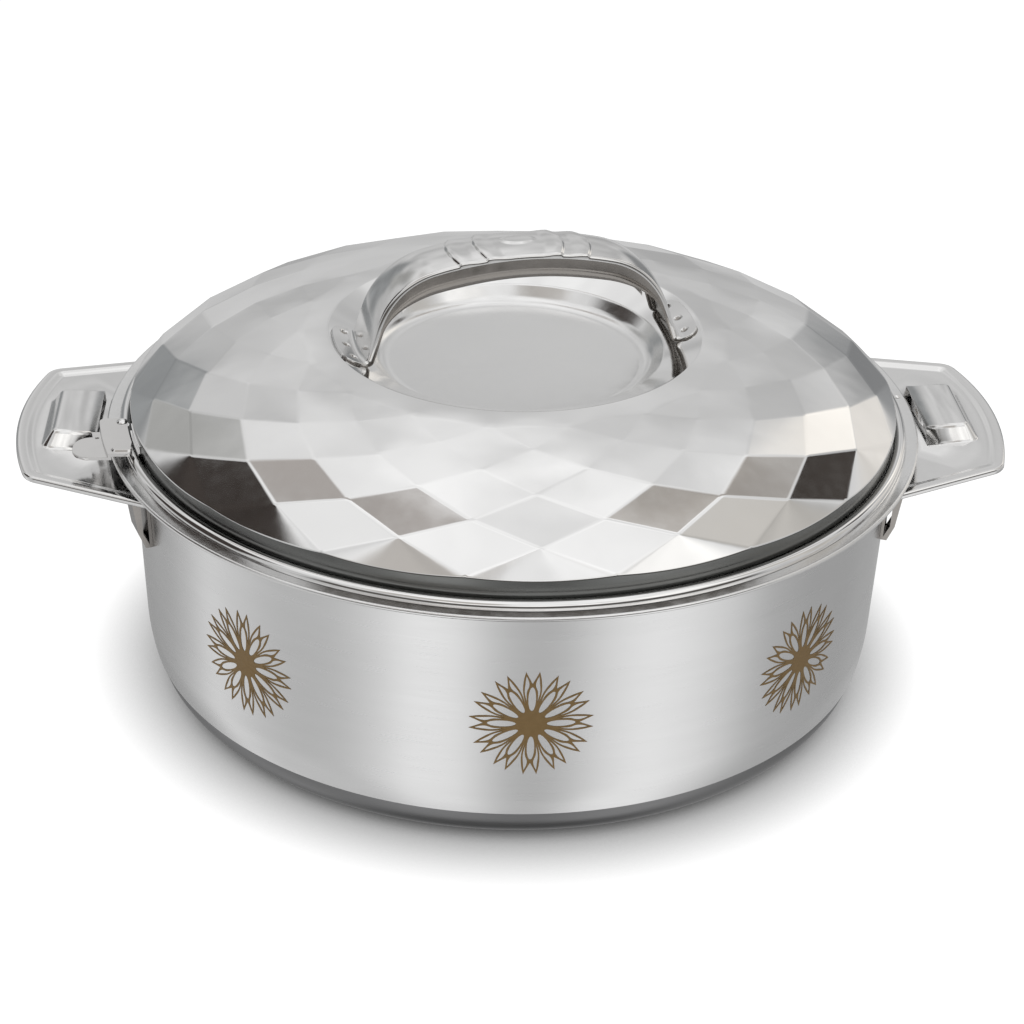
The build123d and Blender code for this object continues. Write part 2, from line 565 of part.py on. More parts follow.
# ---- strip that closes the strap from below ------------------------------------------------------
with BuildPart() as lid_handle_liner:
    with BuildSketch(Plane.YZ):
        with Locations((0, GRIP_Z - GRIP_DEPTH + SHEET)):
            Rectangle(GRIP_W - 2 * SHEET - 2 * WELD_GAP, SHEET)
    sweep(path=grip_line)
    mirror(about=Plane.YZ)
    Box(2 * (LEG_TOP_X - LINER_INSET), GRIP_W, 2 * (GRIP_Z + GRIP_DEPTH), mode=Mode.INTERSECT)
keep(lid_handle_liner.part.rotate(Axis.Z, LID_TURN), "lid_handle_liner")


# ---- lid lug: bent tongue on the skirt beside the latch ------------------------------------------
def skirt_radius(z):
    """Outer radius of the lid's skirt at height z."""
    return SKIRT_R + SKIRT_FLARE * (z - SKIRT_Z) / SKIRT_H


lug_start = 180 + degrees(asin(LUG_NEAR_Y / SKIRT_R))
lug_end = 180 + degrees(asin(LUG_FAR_Y / SKIRT_R))
with BuildPart() as lid_lug:
    with BuildSketch(radial_plane(lug_start)):
        with BuildLine():
            Polyline(
                (skirt_radius(LUG_Z) + LUG_REACH, LUG_Z),
                (skirt_radius(LUG_Z) + WELD_GAP, LUG_Z),
                (skirt_radius(LUG_Z + LUG_UPSTAND) + WELD_GAP, LUG_Z + LUG_UPSTAND),
            )
            offset(amount=LINER_SHEET, side=Side.RIGHT, closed=True)
        make_face()
    revolve(axis=Axis.Z, revolution_arc=lug_end - lug_start)
keep(lid_lug.part, "lid_lug")

# ---- latch: plate on the rim, step down outside it, lower flange and finger tab ------------------
latch_back_y = LATCH_BACK - PIVOT_Y
tab_x = -(RING_R + TAB_REACH)
tab_near_y = -(PIVOT_Y + TAB_BACK)
tab_w = tab_near_y - LATCH_FRONT_Y


def latch_band(inner_r, outer_r, near_y):
    """Band between two radii, from the latch's front edge to near_y and out from its inner edge."""
    Circle(outer_r)
    Circle(inner_r, mode=Mode.SUBTRACT)
    with Locations((-(outer_r + LATCH_IN_X) / 2, (LATCH_FRONT_Y + near_y) / 2)):
        Rectangle(outer_r - LATCH_IN_X, near_y - LATCH_FRONT_Y, mode=Mode.INTERSECT)


with BuildPart() as latch_lever:
    with BuildSketch(Plane.XY.offset(LATCH_Z)) as latch_plate:
        latch_band(LATCH_IN_R, LATCH_STEP_R + HANDLE_SHEET, latch_back_y)
        fillet(latch_plate.vertices().group_by(Axis.Y)[-1], LATCH_BACK * 0.8)
    extrude(amount=HANDLE_SHEET)
    with BuildSketch(Plane.XY.offset(TAB_Z)):
        latch_band(LATCH_STEP_R, LATCH_STEP_R + HANDLE_SHEET, -PIVOT_Y)
    extrude(amount=LATCH_STEP + HANDLE_SHEET)
    with BuildSketch(Plane.XY.offset(TAB_Z)):
        latch_band(LATCH_STEP_R, LATCH_STEP_R + HANDLE_SHEET + STRIP_W, -(PIVOT_Y + STRIP_BACK))
    extrude(amount=HANDLE_SHEET)
    with BuildSketch(Plane.XY.offset(TAB_Z)) as latch_tab:
        with Locations((tab_x / 2, (LATCH_FRONT_Y + tab_near_y) / 2)):
            Rectangle(-tab_x, tab_w)
        fillet(latch_tab.vertices().group_by(Axis.X)[0], TAB_CORNER_R)
        Circle(LATCH_STEP_R, mode=Mode.SUBTRACT)
    extrude(amount=HANDLE_SHEET)
    with Locations((PIVOT_X, -PIVOT_Y, LATCH_TOP_Z)):
        Hole(RIVET_R + PIN_CLEARANCE, depth=2 * HANDLE_SHEET)
    hole_r = LATCH_STEP_R + HANDLE_SHEET + STRIP_W / 2
    with Locations((-sqrt(hole_r**2 - LATCH_HOLE_Y**2), -LATCH_HOLE_Y, LATCH_TOP_Z)):
        Hole(LATCH_HOLE_R, depth=2 * LATCH_STEP + HANDLE_SHEET)
    dimple_y = LATCH_FRONT_Y + PRESS_DIMPLE_END
    dimple_r = (LATCH_IN_R + LATCH_STEP_R) / 2
    with BuildSketch(Plane.XY.offset(LATCH_TOP_Z)):
        with Locations((-sqrt(dimple_r**2 - dimple_y**2), dimple_y)):
            SlotOverall(PRESS_DIMPLE_L, PRESS_DIMPLE_W)
    extrude(amount=PRESS_DIMPLE_H, taper=45)
keep(latch_lever.part, "latch_lever")

# ---- washer under the latch ----------------------------------------------------------------------
with BuildPart() as latch_washer:
    with BuildSketch(Plane.XY.offset(WASHER_Z)):
        with Locations((PIVOT_X, -PIVOT_Y)):
            Circle(WASHER_R)
            Circle(RIVET_R + PIN_CLEARANCE, mode=Mode.SUBTRACT)
    extrude(amount=WASHER_T)
keep(latch_washer.part, "latch_washer")


# ---- rivets: domed head above, shank, flat head under the rim ring -------------------------------
def rivet(label, x, y, seat_z, shank_r, head_r, head_h):
    """Rivet at (x, y) whose domed head sits just above seat_z."""
    head_z = seat_z + WELD_GAP
    tail_z = RING_Z - WELD_GAP
    with BuildPart() as pin:
        with BuildSketch(Plane((x, y, 0), x_dir=(1, 0, 0), z_dir=(0, -1, 0))):
            with BuildLine():
                Polyline(
                    (0, head_z + head_h),
                    (0, tail_z - head_h),
                    (head_r, tail_z - head_h),
                    (head_r, tail_z),
                    (shank_r, tail_z),
                    (shank_r, head_z),
                    (head_r, head_z),
                )
                RadiusArc((head_r, head_z), (0, head_z + head_h), -(head_r**2 + head_h**2) / (2 * head_h))
            make_face()
        revolve(axis=Axis((x, y, 0), (0, 0, 1)))
    keep(pin.part, label)


rivet("latch_rivet", PIVOT_X, -PIVOT_Y, LATCH_TOP_Z, RIVET_R, RIVET_HEAD_R, RIVET_HEAD_H)
rivet("rim_rivet", RIM_RIVET_X, RIM_RIVET_Y, RING_TOP_Z, RIM_RIVET_R, RIM_RIVET_HEAD_R, RIM_RIVET_HEAD_H)

os.makedirs("parts", exist_ok=True)
for piece in PIECES:
    export_step(piece, f"parts/{piece.label}.step")
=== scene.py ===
"""Insulated chapati casserole: smooth metal pieces, finishes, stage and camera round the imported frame.

Lengths are metres, written as millimetres times MM. The handle of the lid lies along X turned by
the lid's own turn, and the two side handles lie along X.
"""
from math import asin, atan2, ceil, cos, hypot, pi, radians, sin, sqrt, tan

import bmesh
import bpy
from mathutils import Matrix, Vector


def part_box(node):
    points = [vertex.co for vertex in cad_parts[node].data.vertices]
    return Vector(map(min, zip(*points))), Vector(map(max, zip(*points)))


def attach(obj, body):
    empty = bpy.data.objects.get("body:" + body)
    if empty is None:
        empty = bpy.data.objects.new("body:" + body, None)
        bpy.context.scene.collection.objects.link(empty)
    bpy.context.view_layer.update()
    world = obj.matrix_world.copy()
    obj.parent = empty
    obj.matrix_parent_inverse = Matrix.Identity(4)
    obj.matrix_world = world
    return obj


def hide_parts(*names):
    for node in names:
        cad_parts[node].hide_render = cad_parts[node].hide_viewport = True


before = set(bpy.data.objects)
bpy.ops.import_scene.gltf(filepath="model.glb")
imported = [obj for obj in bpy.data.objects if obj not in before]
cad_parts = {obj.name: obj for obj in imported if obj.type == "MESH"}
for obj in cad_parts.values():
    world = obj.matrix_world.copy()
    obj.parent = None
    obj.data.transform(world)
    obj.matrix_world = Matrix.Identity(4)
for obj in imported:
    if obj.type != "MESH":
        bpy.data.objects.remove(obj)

bl_info = {
    "name": "Chapati casserole",
    "version": (1, 0, 0),
    "blender": (4, 5, 0),
    "location": "3D View > Sidebar > Casserole",
    "description": "Builds the visible pieces of an insulated steel casserole and the stage round it",
    "category": "Object",
}

MM = 0.001
SPIN_STEPS = 288         # columns round a spun piece
ARC_STEP = radians(9)    # turn between two points of a rounded corner
SUPPORT = 0.12 * MM      # distance from a rounded corner to the point that keeps the flat beside it flat
SAME_POINT = 0.1e-6      # points nearer than this to each other, or to the axis, are one
CAD_JOIN = 1e-6          # distance over which the loose triangles of a CAD node are joined
SLIVER = 0.5e-6          # edges shorter than this are left out after a bevel
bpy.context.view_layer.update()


def corner(node):
    """Highest corner of a node's box at rest."""
    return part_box(node)[1]


SHELL_R, _, SHELL_TOP = corner("outer_shell")
CAP_R = corner("base_cap")[0]
RING_R = corner("rim_ring")[0]
BEAD_R, _, BEAD_TOP = corner("inner_bowl")
LID_R, _, DISH_RIM_Z = corner("lid_dome")
SKIRT_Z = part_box("lid_dome")[0][2]


# ---- settings ----------------------------------------------------------------------------------
def length(name, description, millimetres):
    """Length property, with its default written in millimetres."""
    return bpy.props.FloatProperty(
        name=name, description=description, default=millimetres * MM, unit="LENGTH", precision=5
    )


def angle(name, description, degrees):
    """Angle property, with its default written in degrees."""
    return bpy.props.FloatProperty(
        name=name, description=description, default=radians(degrees), subtype="ANGLE", unit="ROTATION"
    )


def number(name, description, default):
    """Plain number property."""
    return bpy.props.FloatProperty(name=name, description=description, default=default, precision=4)


def count(name, description, default):
    """Whole number property."""
    return bpy.props.IntProperty(name=name, description=description, default=default, min=1)


def colour(name, description, default):
    """Colour property."""
    return bpy.props.FloatVectorProperty(
        name=name, description=description, default=default, subtype="COLOR", size=3, min=0, max=1
    )


class PotSizes(bpy.types.PropertyGroup):
    """Sizes of the pot's spun sheets"""
    sheet: length("Sheet", "Thickness of the shell and the base cap", 0.8)
    bowl_sheet: length("Bowl sheet", "Thickness of the bowl", 0.7)
    shell_draft: length("Shell draft", "Radius lost from the shell's top down to its lower curve", 1.9)
    curve_z: length("Curve height", "Height at which the shell starts to curve in", 23)
    cap_z: length("Cap joint", "Height of the joint between shell and base cap", 12.2)
    cap_corner: length("Cap corner", "Radius of the base cap's rounded corner", 11.8)
    foot_width: length("Foot width", "Width of the ring that the pot rests on", 22)
    foot_recess: length("Foot recess", "Rise of the base inside that ring", 1)
    insulation: length("Insulation", "Space between the shell and the bowl", 11)
    floor_z: length("Bowl floor", "Height of the bowl's inner floor", 13.6)
    bowl_corner: length("Bowl corner", "Radius between the bowl's floor and wall", 15)
    bowl_lip: length("Bowl lip", "Radius between the bowl's wall and its ledge", 3.7)
    ring_lap: length("Ring lap", "How far the rim ring reaches in over the shell", 4)
    ring_thick: length("Ring thickness", "Thickness of the rim ring", 1.2)
    hem: length("Hem radius", "Radius of the rolled hem on the ring's edge", 0.7)
    bead_width: length("Bead width", "Width of the rolled bead on the bowl's rim", 3.9)
    weld_gap: length("Weld gap", "Space between two sheets that are pressed together", 0.05)


class PrintSizes(bpy.types.PropertyGroup):
    """Sizes of the flower prints on the shell"""
    flowers: count("Flowers", "Flowers round the shell", 8)
    spacing: angle("Spacing", "Turn from one flower to the next", 43.5)
    first: angle("First flower", "Direction of the first flower", -134.2)
    petals: count("Petals", "Petals of one flower", 12)
    radius: length("Radius", "Radius of a flower", 17.9)
    middle_z: length("Middle height", "Height of a flower's middle", 45.2)
    film: length("Film", "Thickness of the printed film", 0.05)
    lift: length("Lift", "Distance of the film's back from the shell", 0.04)


class LidSizes(bpy.types.PropertyGroup):
    """Sizes of the lid's pressed dome"""
    turn: angle("Turn", "Turn of the lid's handle against the side handles", 10)
    sheet: length("Sheet", "Thickness of the dome", 0.8)
    skirt_height: length("Skirt height", "Height of the skirt", 6.8)
    skirt_flare: length("Skirt flare", "How far the skirt's top stands out beyond its foot", 0.3)
    facets: count("Facets", "Facets in one row", 18)
    first_rise: length("First rise", "Height gained over the outermost row", 6)
    band_width: length("Band width", "Width of the smooth band inside the facets", 9.3)
    seat_width: length("Seat width", "Width of the sloped seat round the dish", 12)
    seat_drop: length("Seat drop", "Height lost over that seat", 5.4)
    wall_width: length("Dish wall width", "Width of the dish's wall", 4.5)
    wall_drop: length("Dish wall drop", "Height lost over that wall", 5)
    scallop: number("Scallop", "Share of the outermost facets' drop that shows at the skirt", 0.3)
    edge: number("Facet edge", "Softened edge of a facet as a share of its side", 0.05)
    bulge: length("Facet bulge", "How far the middle of an outermost facet bulges; each row adds as much again", 0.03)
    liner_sheet: length("Liner sheet", "Thickness of the sheet under the dome", 0.6)
    plug_gap: length("Plug gap", "Space between that sheet's plug and the bowl", 1.6)


class GripSizes(bpy.types.PropertyGroup):
    """Sizes of the lid's arched handle"""
    rise: length("Rise", "Height of the strap above the edge of the dish", 28.1)
    half_width: length("Half width", "Half of the strap's width at its top", 10)
    leg_half_width: length("Leg half width", "Half of its width at the foot of a leg", 12.3)
    foot_half_width: length("Foot half width", "Half of a foot's width", 13.4)
    depth: length("Flange depth", "Depth of the side flanges at the top", 7.2)
    crown: length("Crown", "Extra height along the strap's middle", 1.1)
    edge: length("Edge radius", "Radius of the strap's long edges", 1.3)
    arc_drop: length("Arc drop", "Height lost over the flat arc on each side of the top", 3.4)
    corner_width: length("Corner width", "Width of the corner between that arc and a leg", 18.3)
    corner_drop: length("Corner drop", "Height lost over that corner", 17.1)
    leg_inset: length("Leg inset", "Distance from the edge of the dish in to the top of a leg", 12.3)
    foot_margin: length("Foot margin", "Distance from a foot to the edge of the dish", 1.5)
    foot_bend: length("Foot bend", "Radius of the bend between a leg and its foot", 1.8)
    ridge: length("Ridge", "Height of the pressed ridges on the strap", 0.5)


class WingSizes(bpy.types.PropertyGroup):
    """Sizes of the two side handles"""
    drop: length("Drop", "Distance from the shell's top down to the handle's inner edge", 3.6)
    tilt: angle("Tilt", "Upward tilt towards the outer edge", 4)
    reach: length("Reach", "How far a handle stands out beyond the shell", 35.6)
    bulge: length("Bulge", "How far its outer edge bulges beyond its corners", 6.2)
    corner_half: length("Corner half", "Half of its width at the outer corners", 37.5)
    root_half: length("Root half", "Half of its width at the shell", 52.5)
    corner_r: length("Corner radius", "Rounding of the outer corners", 7)
    sheet: length("Sheet", "Thickness of its sheet", 1)
    hem: length("Hem", "Depth of the turned-down edge", 1.8)
    flange: length("Flange", "Depth of the flange at the shell", 3.7)
    border: length("Border", "Width of the flat border", 3.6)
    sink: length("Sink", "Depth of the sunken panel", 0.9)
    boss_offset: length("Boss offset", "Distance from the shell out to the boss", 9.7)
    boss_lip: length("Boss lip", "How far the panel reaches in under the boss", 2.8)
    boss_length: length("Boss length", "Length of the boss at its foot", 17)
    boss_near_half: length("Boss near half", "Half of the boss's width at its open end", 18.2)
    boss_far_half: length("Boss far half", "Half of its width at the outer end", 17.5)
    boss_height: length("Boss height", "Height of the boss above the panel", 5.1)
    boss_side_lean: length("Boss side lean", "How far its sides lean in", 3.4)
    boss_far_lean: length("Boss far lean", "How far its outer end leans in", 3.6)
    boss_corner: length("Boss corner", "Rounding of its corners", 3)


class FinishColours(bpy.types.PropertyGroup):
    """Colours of the steel, the foam and the ink"""
    mirror: colour("Mirror steel", "Bowl, rivets, washer and lug", (0.88, 0.875, 0.87))
    dome: colour("Dome steel", "Facets, band and seat of the lid", (0.88, 0.877, 0.873))
    dish: colour("Dish steel", "Dish of the lid", (0.86, 0.857, 0.853))
    rim: colour("Rim steel", "Flat ring round the pot's rim", (0.86, 0.857, 0.853))
    # Painted shade: the skirt's steel is darkened to stand in for the dark reflections on the upright skirt.
    skirt: colour("Shaded steel", "Upright skirt of the lid", (0.18, 0.183, 0.178))
    latch: colour("Latch steel", "Latch on the rim", (0.74, 0.73, 0.72))
    strap: colour("Strap steel", "Arched handle of the lid, and the strip that closes it", (0.80, 0.795, 0.79))
    # Painted shade: the lid handle's flanges, weld dimples and underside, and the legs under the side handles, take
    # this darkened steel for the shade and dark reflections on them.
    dull: colour("Dull steel", "Flanges and welds of that handle, and legs of the side handles", (0.36, 0.34, 0.32))
    wing: colour("Wing steel", "Side handles", (0.86, 0.855, 0.85))
    satin: colour("Satin steel", "Shell, and the sheet under the lid", (0.82, 0.82, 0.82))
    dark_satin: colour("Dark satin steel", "Base cap", (0.24, 0.24, 0.243))
    foam: colour("Foam", "Darker tone of the foam", (0.72, 0.62, 0.36))
    foam_light: colour("Light foam", "Lighter tone of the foam", (0.82, 0.74, 0.5))
    ink: colour("Ink", "Darker tone of the flower prints", (0.196, 0.121, 0.042))
    ink_light: colour("Light ink", "Lighter tone of the flower prints", (0.235, 0.150, 0.058))


class StageSettings(bpy.types.PropertyGroup):
    """Camera, floor and light"""
    azimuth: angle("Azimuth", "Direction of the camera round the pot", -94.3)
    elevation: angle("Elevation", "Height of the camera as an angle", 29.57)
    distance: length("Distance", "Distance of the camera from its target", 768)
    target_z: length("Target height", "Height of the point that the camera turns round", 38.4)
    roll: number("Roll", "Turn of the camera round its own axis", 0.0266458)
    lens: number("Lens", "Focal length on a 36 mm sensor", 82.13)
    shift_x: number("Shift X", "Sideways shift of the frame", 0.0021)
    shift_y: number("Shift Y", "Upward shift of the frame", 0.0237)
    floor_radius: length("Floor radius", "Radius of the pale floor", 8000)
    floor_gap: length("Floor gap", "Space between the floor and the pot", 0.2)
    floor_glow: number("Floor brightness", "Brightness of the floor where nothing shades it", 1.11)
    shadow_reach: length("Shadow reach", "Distance over which the floor shows the pot's shadow", 23)
    shadow_depth: number("Shadow depth", "Power that deepens that shadow", 1.1)
    floor_white: number("Floor white", "Share of the floor's tone that doesn't come from the lamps", 0.85)
    tent_radius: length("Tent radius", "Radius of the light tent round the set", 9000)
    folds: number("Tent folds", "Scale of the tent's uneven brightness", 6.5)
    surround_light: number("Surround light", "Strength of the surround as light", 0.42)
    top_watts: number("Top lamp", "Power of the soft lamp overhead in watts", 15)
    lamp_size: length("Lamp size", "Size of that lamp", 1100)


SETTINGS = {
    "casserole_pot": PotSizes,
    "casserole_print": PrintSizes,
    "casserole_lid": LidSizes,
    "casserole_grip": GripSizes,
    "casserole_wing": WingSizes,
    "casserole_colour": FinishColours,
    "casserole_stage": StageSettings,
}


# ---- finishes ----------------------------------------------------------------------------------
def fill(tree, sockets, values):
    """Give each of these input sockets its value, or link another node's socket to it."""
    for key, value in values.items():
        if isinstance(value, bpy.types.NodeSocket):
            tree.links.new(value, sockets[key])
        else:
            sockets[key].default_value = value


def add(tree, kind, output, inputs, **settings):
    """New node with these settings and inputs; gives one output socket, or the node for None."""
    node = tree.nodes.new(kind)
    for name, value in settings.items():
        setattr(node, name, value)
    fill(tree, node.inputs, inputs)
    return node.outputs[output] if output else node


def math_node(tree, operation, *values):
    """Result socket of a Math node on sockets or numbers."""
    return add(tree, "ShaderNodeMath", "Value", dict(enumerate(values)), operation=operation)


def shader(name):
    """New material, its node tree and the input sockets of its principled shader."""
    material = bpy.data.materials.new(name)
    material.use_nodes = True
    tree = material.node_tree
    return material, tree, tree.nodes["Principled BSDF"].inputs


def noise(tree, scale, detail=2.0, stretch=(1, 1, 1)):
    """Noise on Object coordinates; gives its factor socket."""
    place = add(tree, "ShaderNodeTexCoord", "Object", {})
    point = add(tree, "ShaderNodeMapping", "Vector", {"Vector": place, "Scale": stretch})
    return add(tree, "ShaderNodeTexNoise", "Fac", {"Vector": point, "Scale": scale, "Detail": detail})


def spread(tree, factor, low, high):
    """Factor of a noise mapped from its usual range to the range between low and high."""
    ends = {"From Min": 0.3, "From Max": 0.7, "To Min": low, "To Max": high}
    return add(tree, "ShaderNodeMapRange", "Result", {"Value": factor, **ends})


def mixed(tree, factor, first, second):
    """Mix of two colours by a factor socket; each is a socket or red, green and blue."""
    first, second = ((*side, 1) if isinstance(side, tuple) else side for side in (first, second))
    return add(tree, "ShaderNodeMix", "Result", {"Factor": factor, "A": first, "B": second}, data_type="RGBA")


def shaded(tree, factor, tint, share):
    """Mix of a tint and this share of it."""
    return mixed(tree, factor, tint, tuple(part * share for part in tint))


def bumps(tree, *layers):
    """Normal socket of several bump layers, each a factor socket and a height in metres."""
    normal = {}
    for factor, height in layers:
        socket = add(tree, "ShaderNodeBump", "Normal", {"Height": factor, "Distance": height, **normal})
        normal = {"Normal": socket}
    return socket


def polished_steel(name, tint, rough, wave, wave_height, marks=0.0015 * MM):
    """Mirror-like pressed steel: slight waviness from the press and faint polishing marks."""
    _, tree, inputs = shader(name)
    fill(tree, inputs, {
        "Metallic": 1.0,
        "Base Color": shaded(tree, noise(tree, 40), tint, 0.96),
        "Roughness": spread(tree, noise(tree, 260, 3), rough, rough * 1.5),
        "Normal": bumps(tree, (noise(tree, wave, 1), wave_height), (noise(tree, 900, 2), marks)),
    })


def satin_steel(name, tint, rough, grain):
    """Satin steel with a fine grain running round the pot."""
    _, tree, inputs = shader(name)
    fill(tree, inputs, {
        "Metallic": 1.0,
        "Anisotropic": 0.4,
        "Base Color": shaded(tree, noise(tree, 12, 3, (1, 1, 14)), tint, 0.94),
        "Roughness": spread(tree, noise(tree, 50, 4, (1, 1, 30)), rough * 0.94, rough * 1.06),
        "Normal": bumps(tree, (noise(tree, 60, 3, (1, 1, 45)), grain)),
        "Tangent": add(tree, "ShaderNodeTangent", "Tangent", {}, direction_type="RADIAL", axis="Z"),
    })


def rigid_foam(name, tint, light_tint):
    """Pale yellow rigid foam with open cells."""
    _, tree, inputs = shader(name)
    fill(tree, inputs, {
        "Base Color": mixed(tree, noise(tree, 300, 4), tint, light_tint),
        "Roughness": 0.9,
        "Normal": bumps(tree, (noise(tree, 900, 2), 0.3 * MM)),
    })


def bronze_print(name, tint, light_tint):
    """Matt bronze ink, slightly uneven."""
    _, tree, inputs = shader(name)
    fill(tree, inputs, {
        "Metallic": 0.35,
        "Base Color": mixed(tree, noise(tree, 500, 3), tint, light_tint),
        "Roughness": spread(tree, noise(tree, 800, 2), 0.42, 0.55),
    })


# The function that makes each finish, its colours and its other values
FINISHES = {
    "mirror steel": (polished_steel, ("mirror",), 0.055, 35, 0.08 * MM),
    "dome steel": (polished_steel, ("dome",), 0.07, 75, 0.08 * MM),
    "dish steel": (polished_steel, ("dish",), 0.15, 40, 0.02 * MM, 0.0002 * MM),
    "rim steel": (polished_steel, ("rim",), 0.18, 40, 0.02 * MM, 0.0002 * MM),
    # Painted shade on the lid's upright skirt
    "shaded steel": (polished_steel, ("skirt",), 0.14, 40, 0.02 * MM),
    "latch steel": (polished_steel, ("latch",), 0.09, 60, 0.03 * MM),
    "strap steel": (polished_steel, ("strap",), 0.10, 60, 0.03 * MM),
    # Painted shade on the handle's flanges, dimples and underside, and on the legs under the side handles
    "dull steel": (polished_steel, ("dull",), 0.16, 60, 0.03 * MM),
    "wing steel": (polished_steel, ("wing",), 0.11, 45, 0.05 * MM),
    "satin steel": (satin_steel, ("satin",), 0.26, 0.004 * MM),
    "dark satin steel": (satin_steel, ("dark_satin",), 0.36, 0.004 * MM),
    "rigid foam": (rigid_foam, ("foam", "foam_light")),
    "bronze print": (bronze_print, ("ink", "ink_light")),
}


def finish(name):
    """Finish by name, made when it is first asked for."""
    if name not in bpy.data.materials:
        make, tints, *values = FINISHES[name]
        colours = bpy.context.scene.casserole_colour
        make(name, *(tuple(getattr(colours, tint)) for tint in tints), *values)
    return bpy.data.materials[name]


# ---- mesh helpers --------------------------------------------------------------------------------
def rounded(points):
    """Polyline through (r, z) or (r, z, fillet) points, with its filleted corners as arcs."""
    line = []
    for i, (r, z, *fillet) in enumerate(points):
        here = Vector((r, z))
        if not fillet or not fillet[0]:
            line.append(here)
            continue
        before = (here - Vector(points[i - 1][:2])).normalized()
        after = (Vector(points[i + 1][:2]) - here).normalized()
        turn = before.angle_signed(after)
        reach = fillet[0] * tan(abs(turn) / 2)
        start = here - before * reach
        side = Vector((before.y, -before.x)) * (1 if turn > 0 else -1)
        centre = start + side * fillet[0]
        steps = max(2, ceil(abs(turn) / ARC_STEP))
        line.append(start - before * SUPPORT)
        for step in range(steps + 1):
            spoke = start - centre
            spoke.rotate(Matrix.Rotation(-turn * step / steps, 2))
            line.append(centre + spoke)
        line.append(here + after * (reach + SUPPORT))
    return line


def closed_sheet(line, thickness):
    """Closed outline of a sheet whose visible side follows the line."""
    back = []
    for i, here in enumerate(line):
        before = (here - line[i - 1]).normalized() if i else (line[1] - here).normalized()
        after = (line[i + 1] - here).normalized() if i + 1 < len(line) else before
        middle = (before + after).normalized()
        reach = thickness / max(0.5, middle.dot(before))
        back.append(here + Vector((-middle.y, middle.x)) * reach)
    return line + back[::-1]


def new_object(name, mesh, material, body, nodes=()):
    """Object from a finished mesh, with its finish, riding on its body in place of these nodes."""
    piece = bpy.data.objects.new(name, mesh)
    bpy.context.scene.collection.objects.link(piece)
    piece.data.materials.clear()
    piece.data.materials.append(finish(material))
    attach(piece, body)
    if nodes:
        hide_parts(*nodes)
    return piece


def smooth(mesh, sharp=40):
    """Smooth shading, kept sharp over edges steeper than this many degrees."""
    mesh.polygons.foreach_set("use_smooth", [True] * len(mesh.polygons))
    mesh.set_sharp_from_angle(angle=radians(sharp))
    mesh.update()


def spun_mesh(name, outline):
    """Closed outline of (r, z) points spun round Z; a point on the axis becomes one vertex."""
    vertices = []
    rows = []
    for point in outline:
        if point.x < SAME_POINT:
            rows.append([len(vertices)] * SPIN_STEPS)
            vertices.append((0, 0, point.y))
            continue
        rows.append(list(range(len(vertices), len(vertices) + SPIN_STEPS)))
        vertices += [polar(point.x, 2 * pi * column / SPIN_STEPS, point.y) for column in range(SPIN_STEPS)]
    faces = []
    for lower, upper in zip(rows, rows[1:] + rows[:1]):
        for column in range(SPIN_STEPS):
            following = (column + 1) % SPIN_STEPS
            ring = [lower[column], lower[following], upper[following], upper[column]]
            face = list(dict.fromkeys(ring))
            if len(face) > 2:
                faces.append(face)
    mesh = bpy.data.meshes.new(name)
    mesh.from_pydata(vertices, [], faces)
    smooth(mesh)
    return mesh


def spun_sheet(name, line, thickness, material, body, node):
    """Spun sheet whose visible side follows the line, in place of a CAD node."""
    mesh = spun_mesh(node, closed_sheet(line, thickness))
    return new_object(name, mesh, material, body, (node,))


def ring_tree():
    """Geometry Nodes tree that sets copies of the input round Z and joins them."""
    tree = bpy.data.node_groups.get("Copies round an axis")
    if tree:
        return tree
    tree = bpy.data.node_groups.new("Copies round an axis", "GeometryNodeTree")
    inputs = {"Geometry": "Geometry", "Copies": "Int", "Step": "Float", "Join Distance": "Float", "Finish": "Material"}
    for name, kind in inputs.items():
        tree.interface.new_socket(name=name, in_out="INPUT", socket_type="NodeSocket" + kind)
    tree.interface.new_socket(name="Geometry", in_out="OUTPUT", socket_type="NodeSocketGeometry")
    given = tree.nodes.new("NodeGroupInput").outputs
    points = add(tree, "GeometryNodeMeshLine", "Mesh", {"Count": given["Copies"], "Offset": (0, 0, 0)})
    turn = math_node(tree, "MULTIPLY", add(tree, "GeometryNodeInputIndex", "Index", {}), given["Step"])
    facing = add(tree, "FunctionNodeAxisAngleToRotation", "Rotation", {"Axis": (0, 0, 1), "Angle": turn})
    places = {"Points": points, "Instance": given["Geometry"], "Rotation": facing}
    copies = add(tree, "GeometryNodeInstanceOnPoints", "Instances", places)
    real = add(tree, "GeometryNodeRealizeInstances", "Geometry", {"Geometry": copies})
    joint = {"Geometry": real, "Distance": given["Join Distance"]}
    joined = add(tree, "GeometryNodeMergeByDistance", "Geometry", joint)
    paint = {"Geometry": joined, "Material": given["Finish"]}
    painted = add(tree, "GeometryNodeSetMaterial", "Geometry", paint)
    add(tree, "NodeGroupOutput", None, {"Geometry": painted})
    return tree


def copies_round_axis(mesh, copies, step, join_distance, material):
    """Plain mesh of this many copies of a mesh set round Z, each turned by step from the last."""
    carrier = bpy.data.objects.new("carrier", mesh)
    bpy.context.scene.collection.objects.link(carrier)
    modifier = carrier.modifiers.new("Copies", "NODES")
    modifier.node_group = ring_tree()
    values = {"Copies": copies, "Step": step, "Join Distance": join_distance, "Finish": finish(material)}
    for item in modifier.node_group.interface.items_tree:
        if item.in_out == "INPUT" and item.name in values:
            modifier[item.identifier] = values[item.name]
    graph = bpy.context.evaluated_depsgraph_get()
    result = bpy.data.meshes.new_from_object(carrier.evaluated_get(graph))
    carrier.modifiers.clear()
    bpy.data.objects.remove(carrier)
    return result


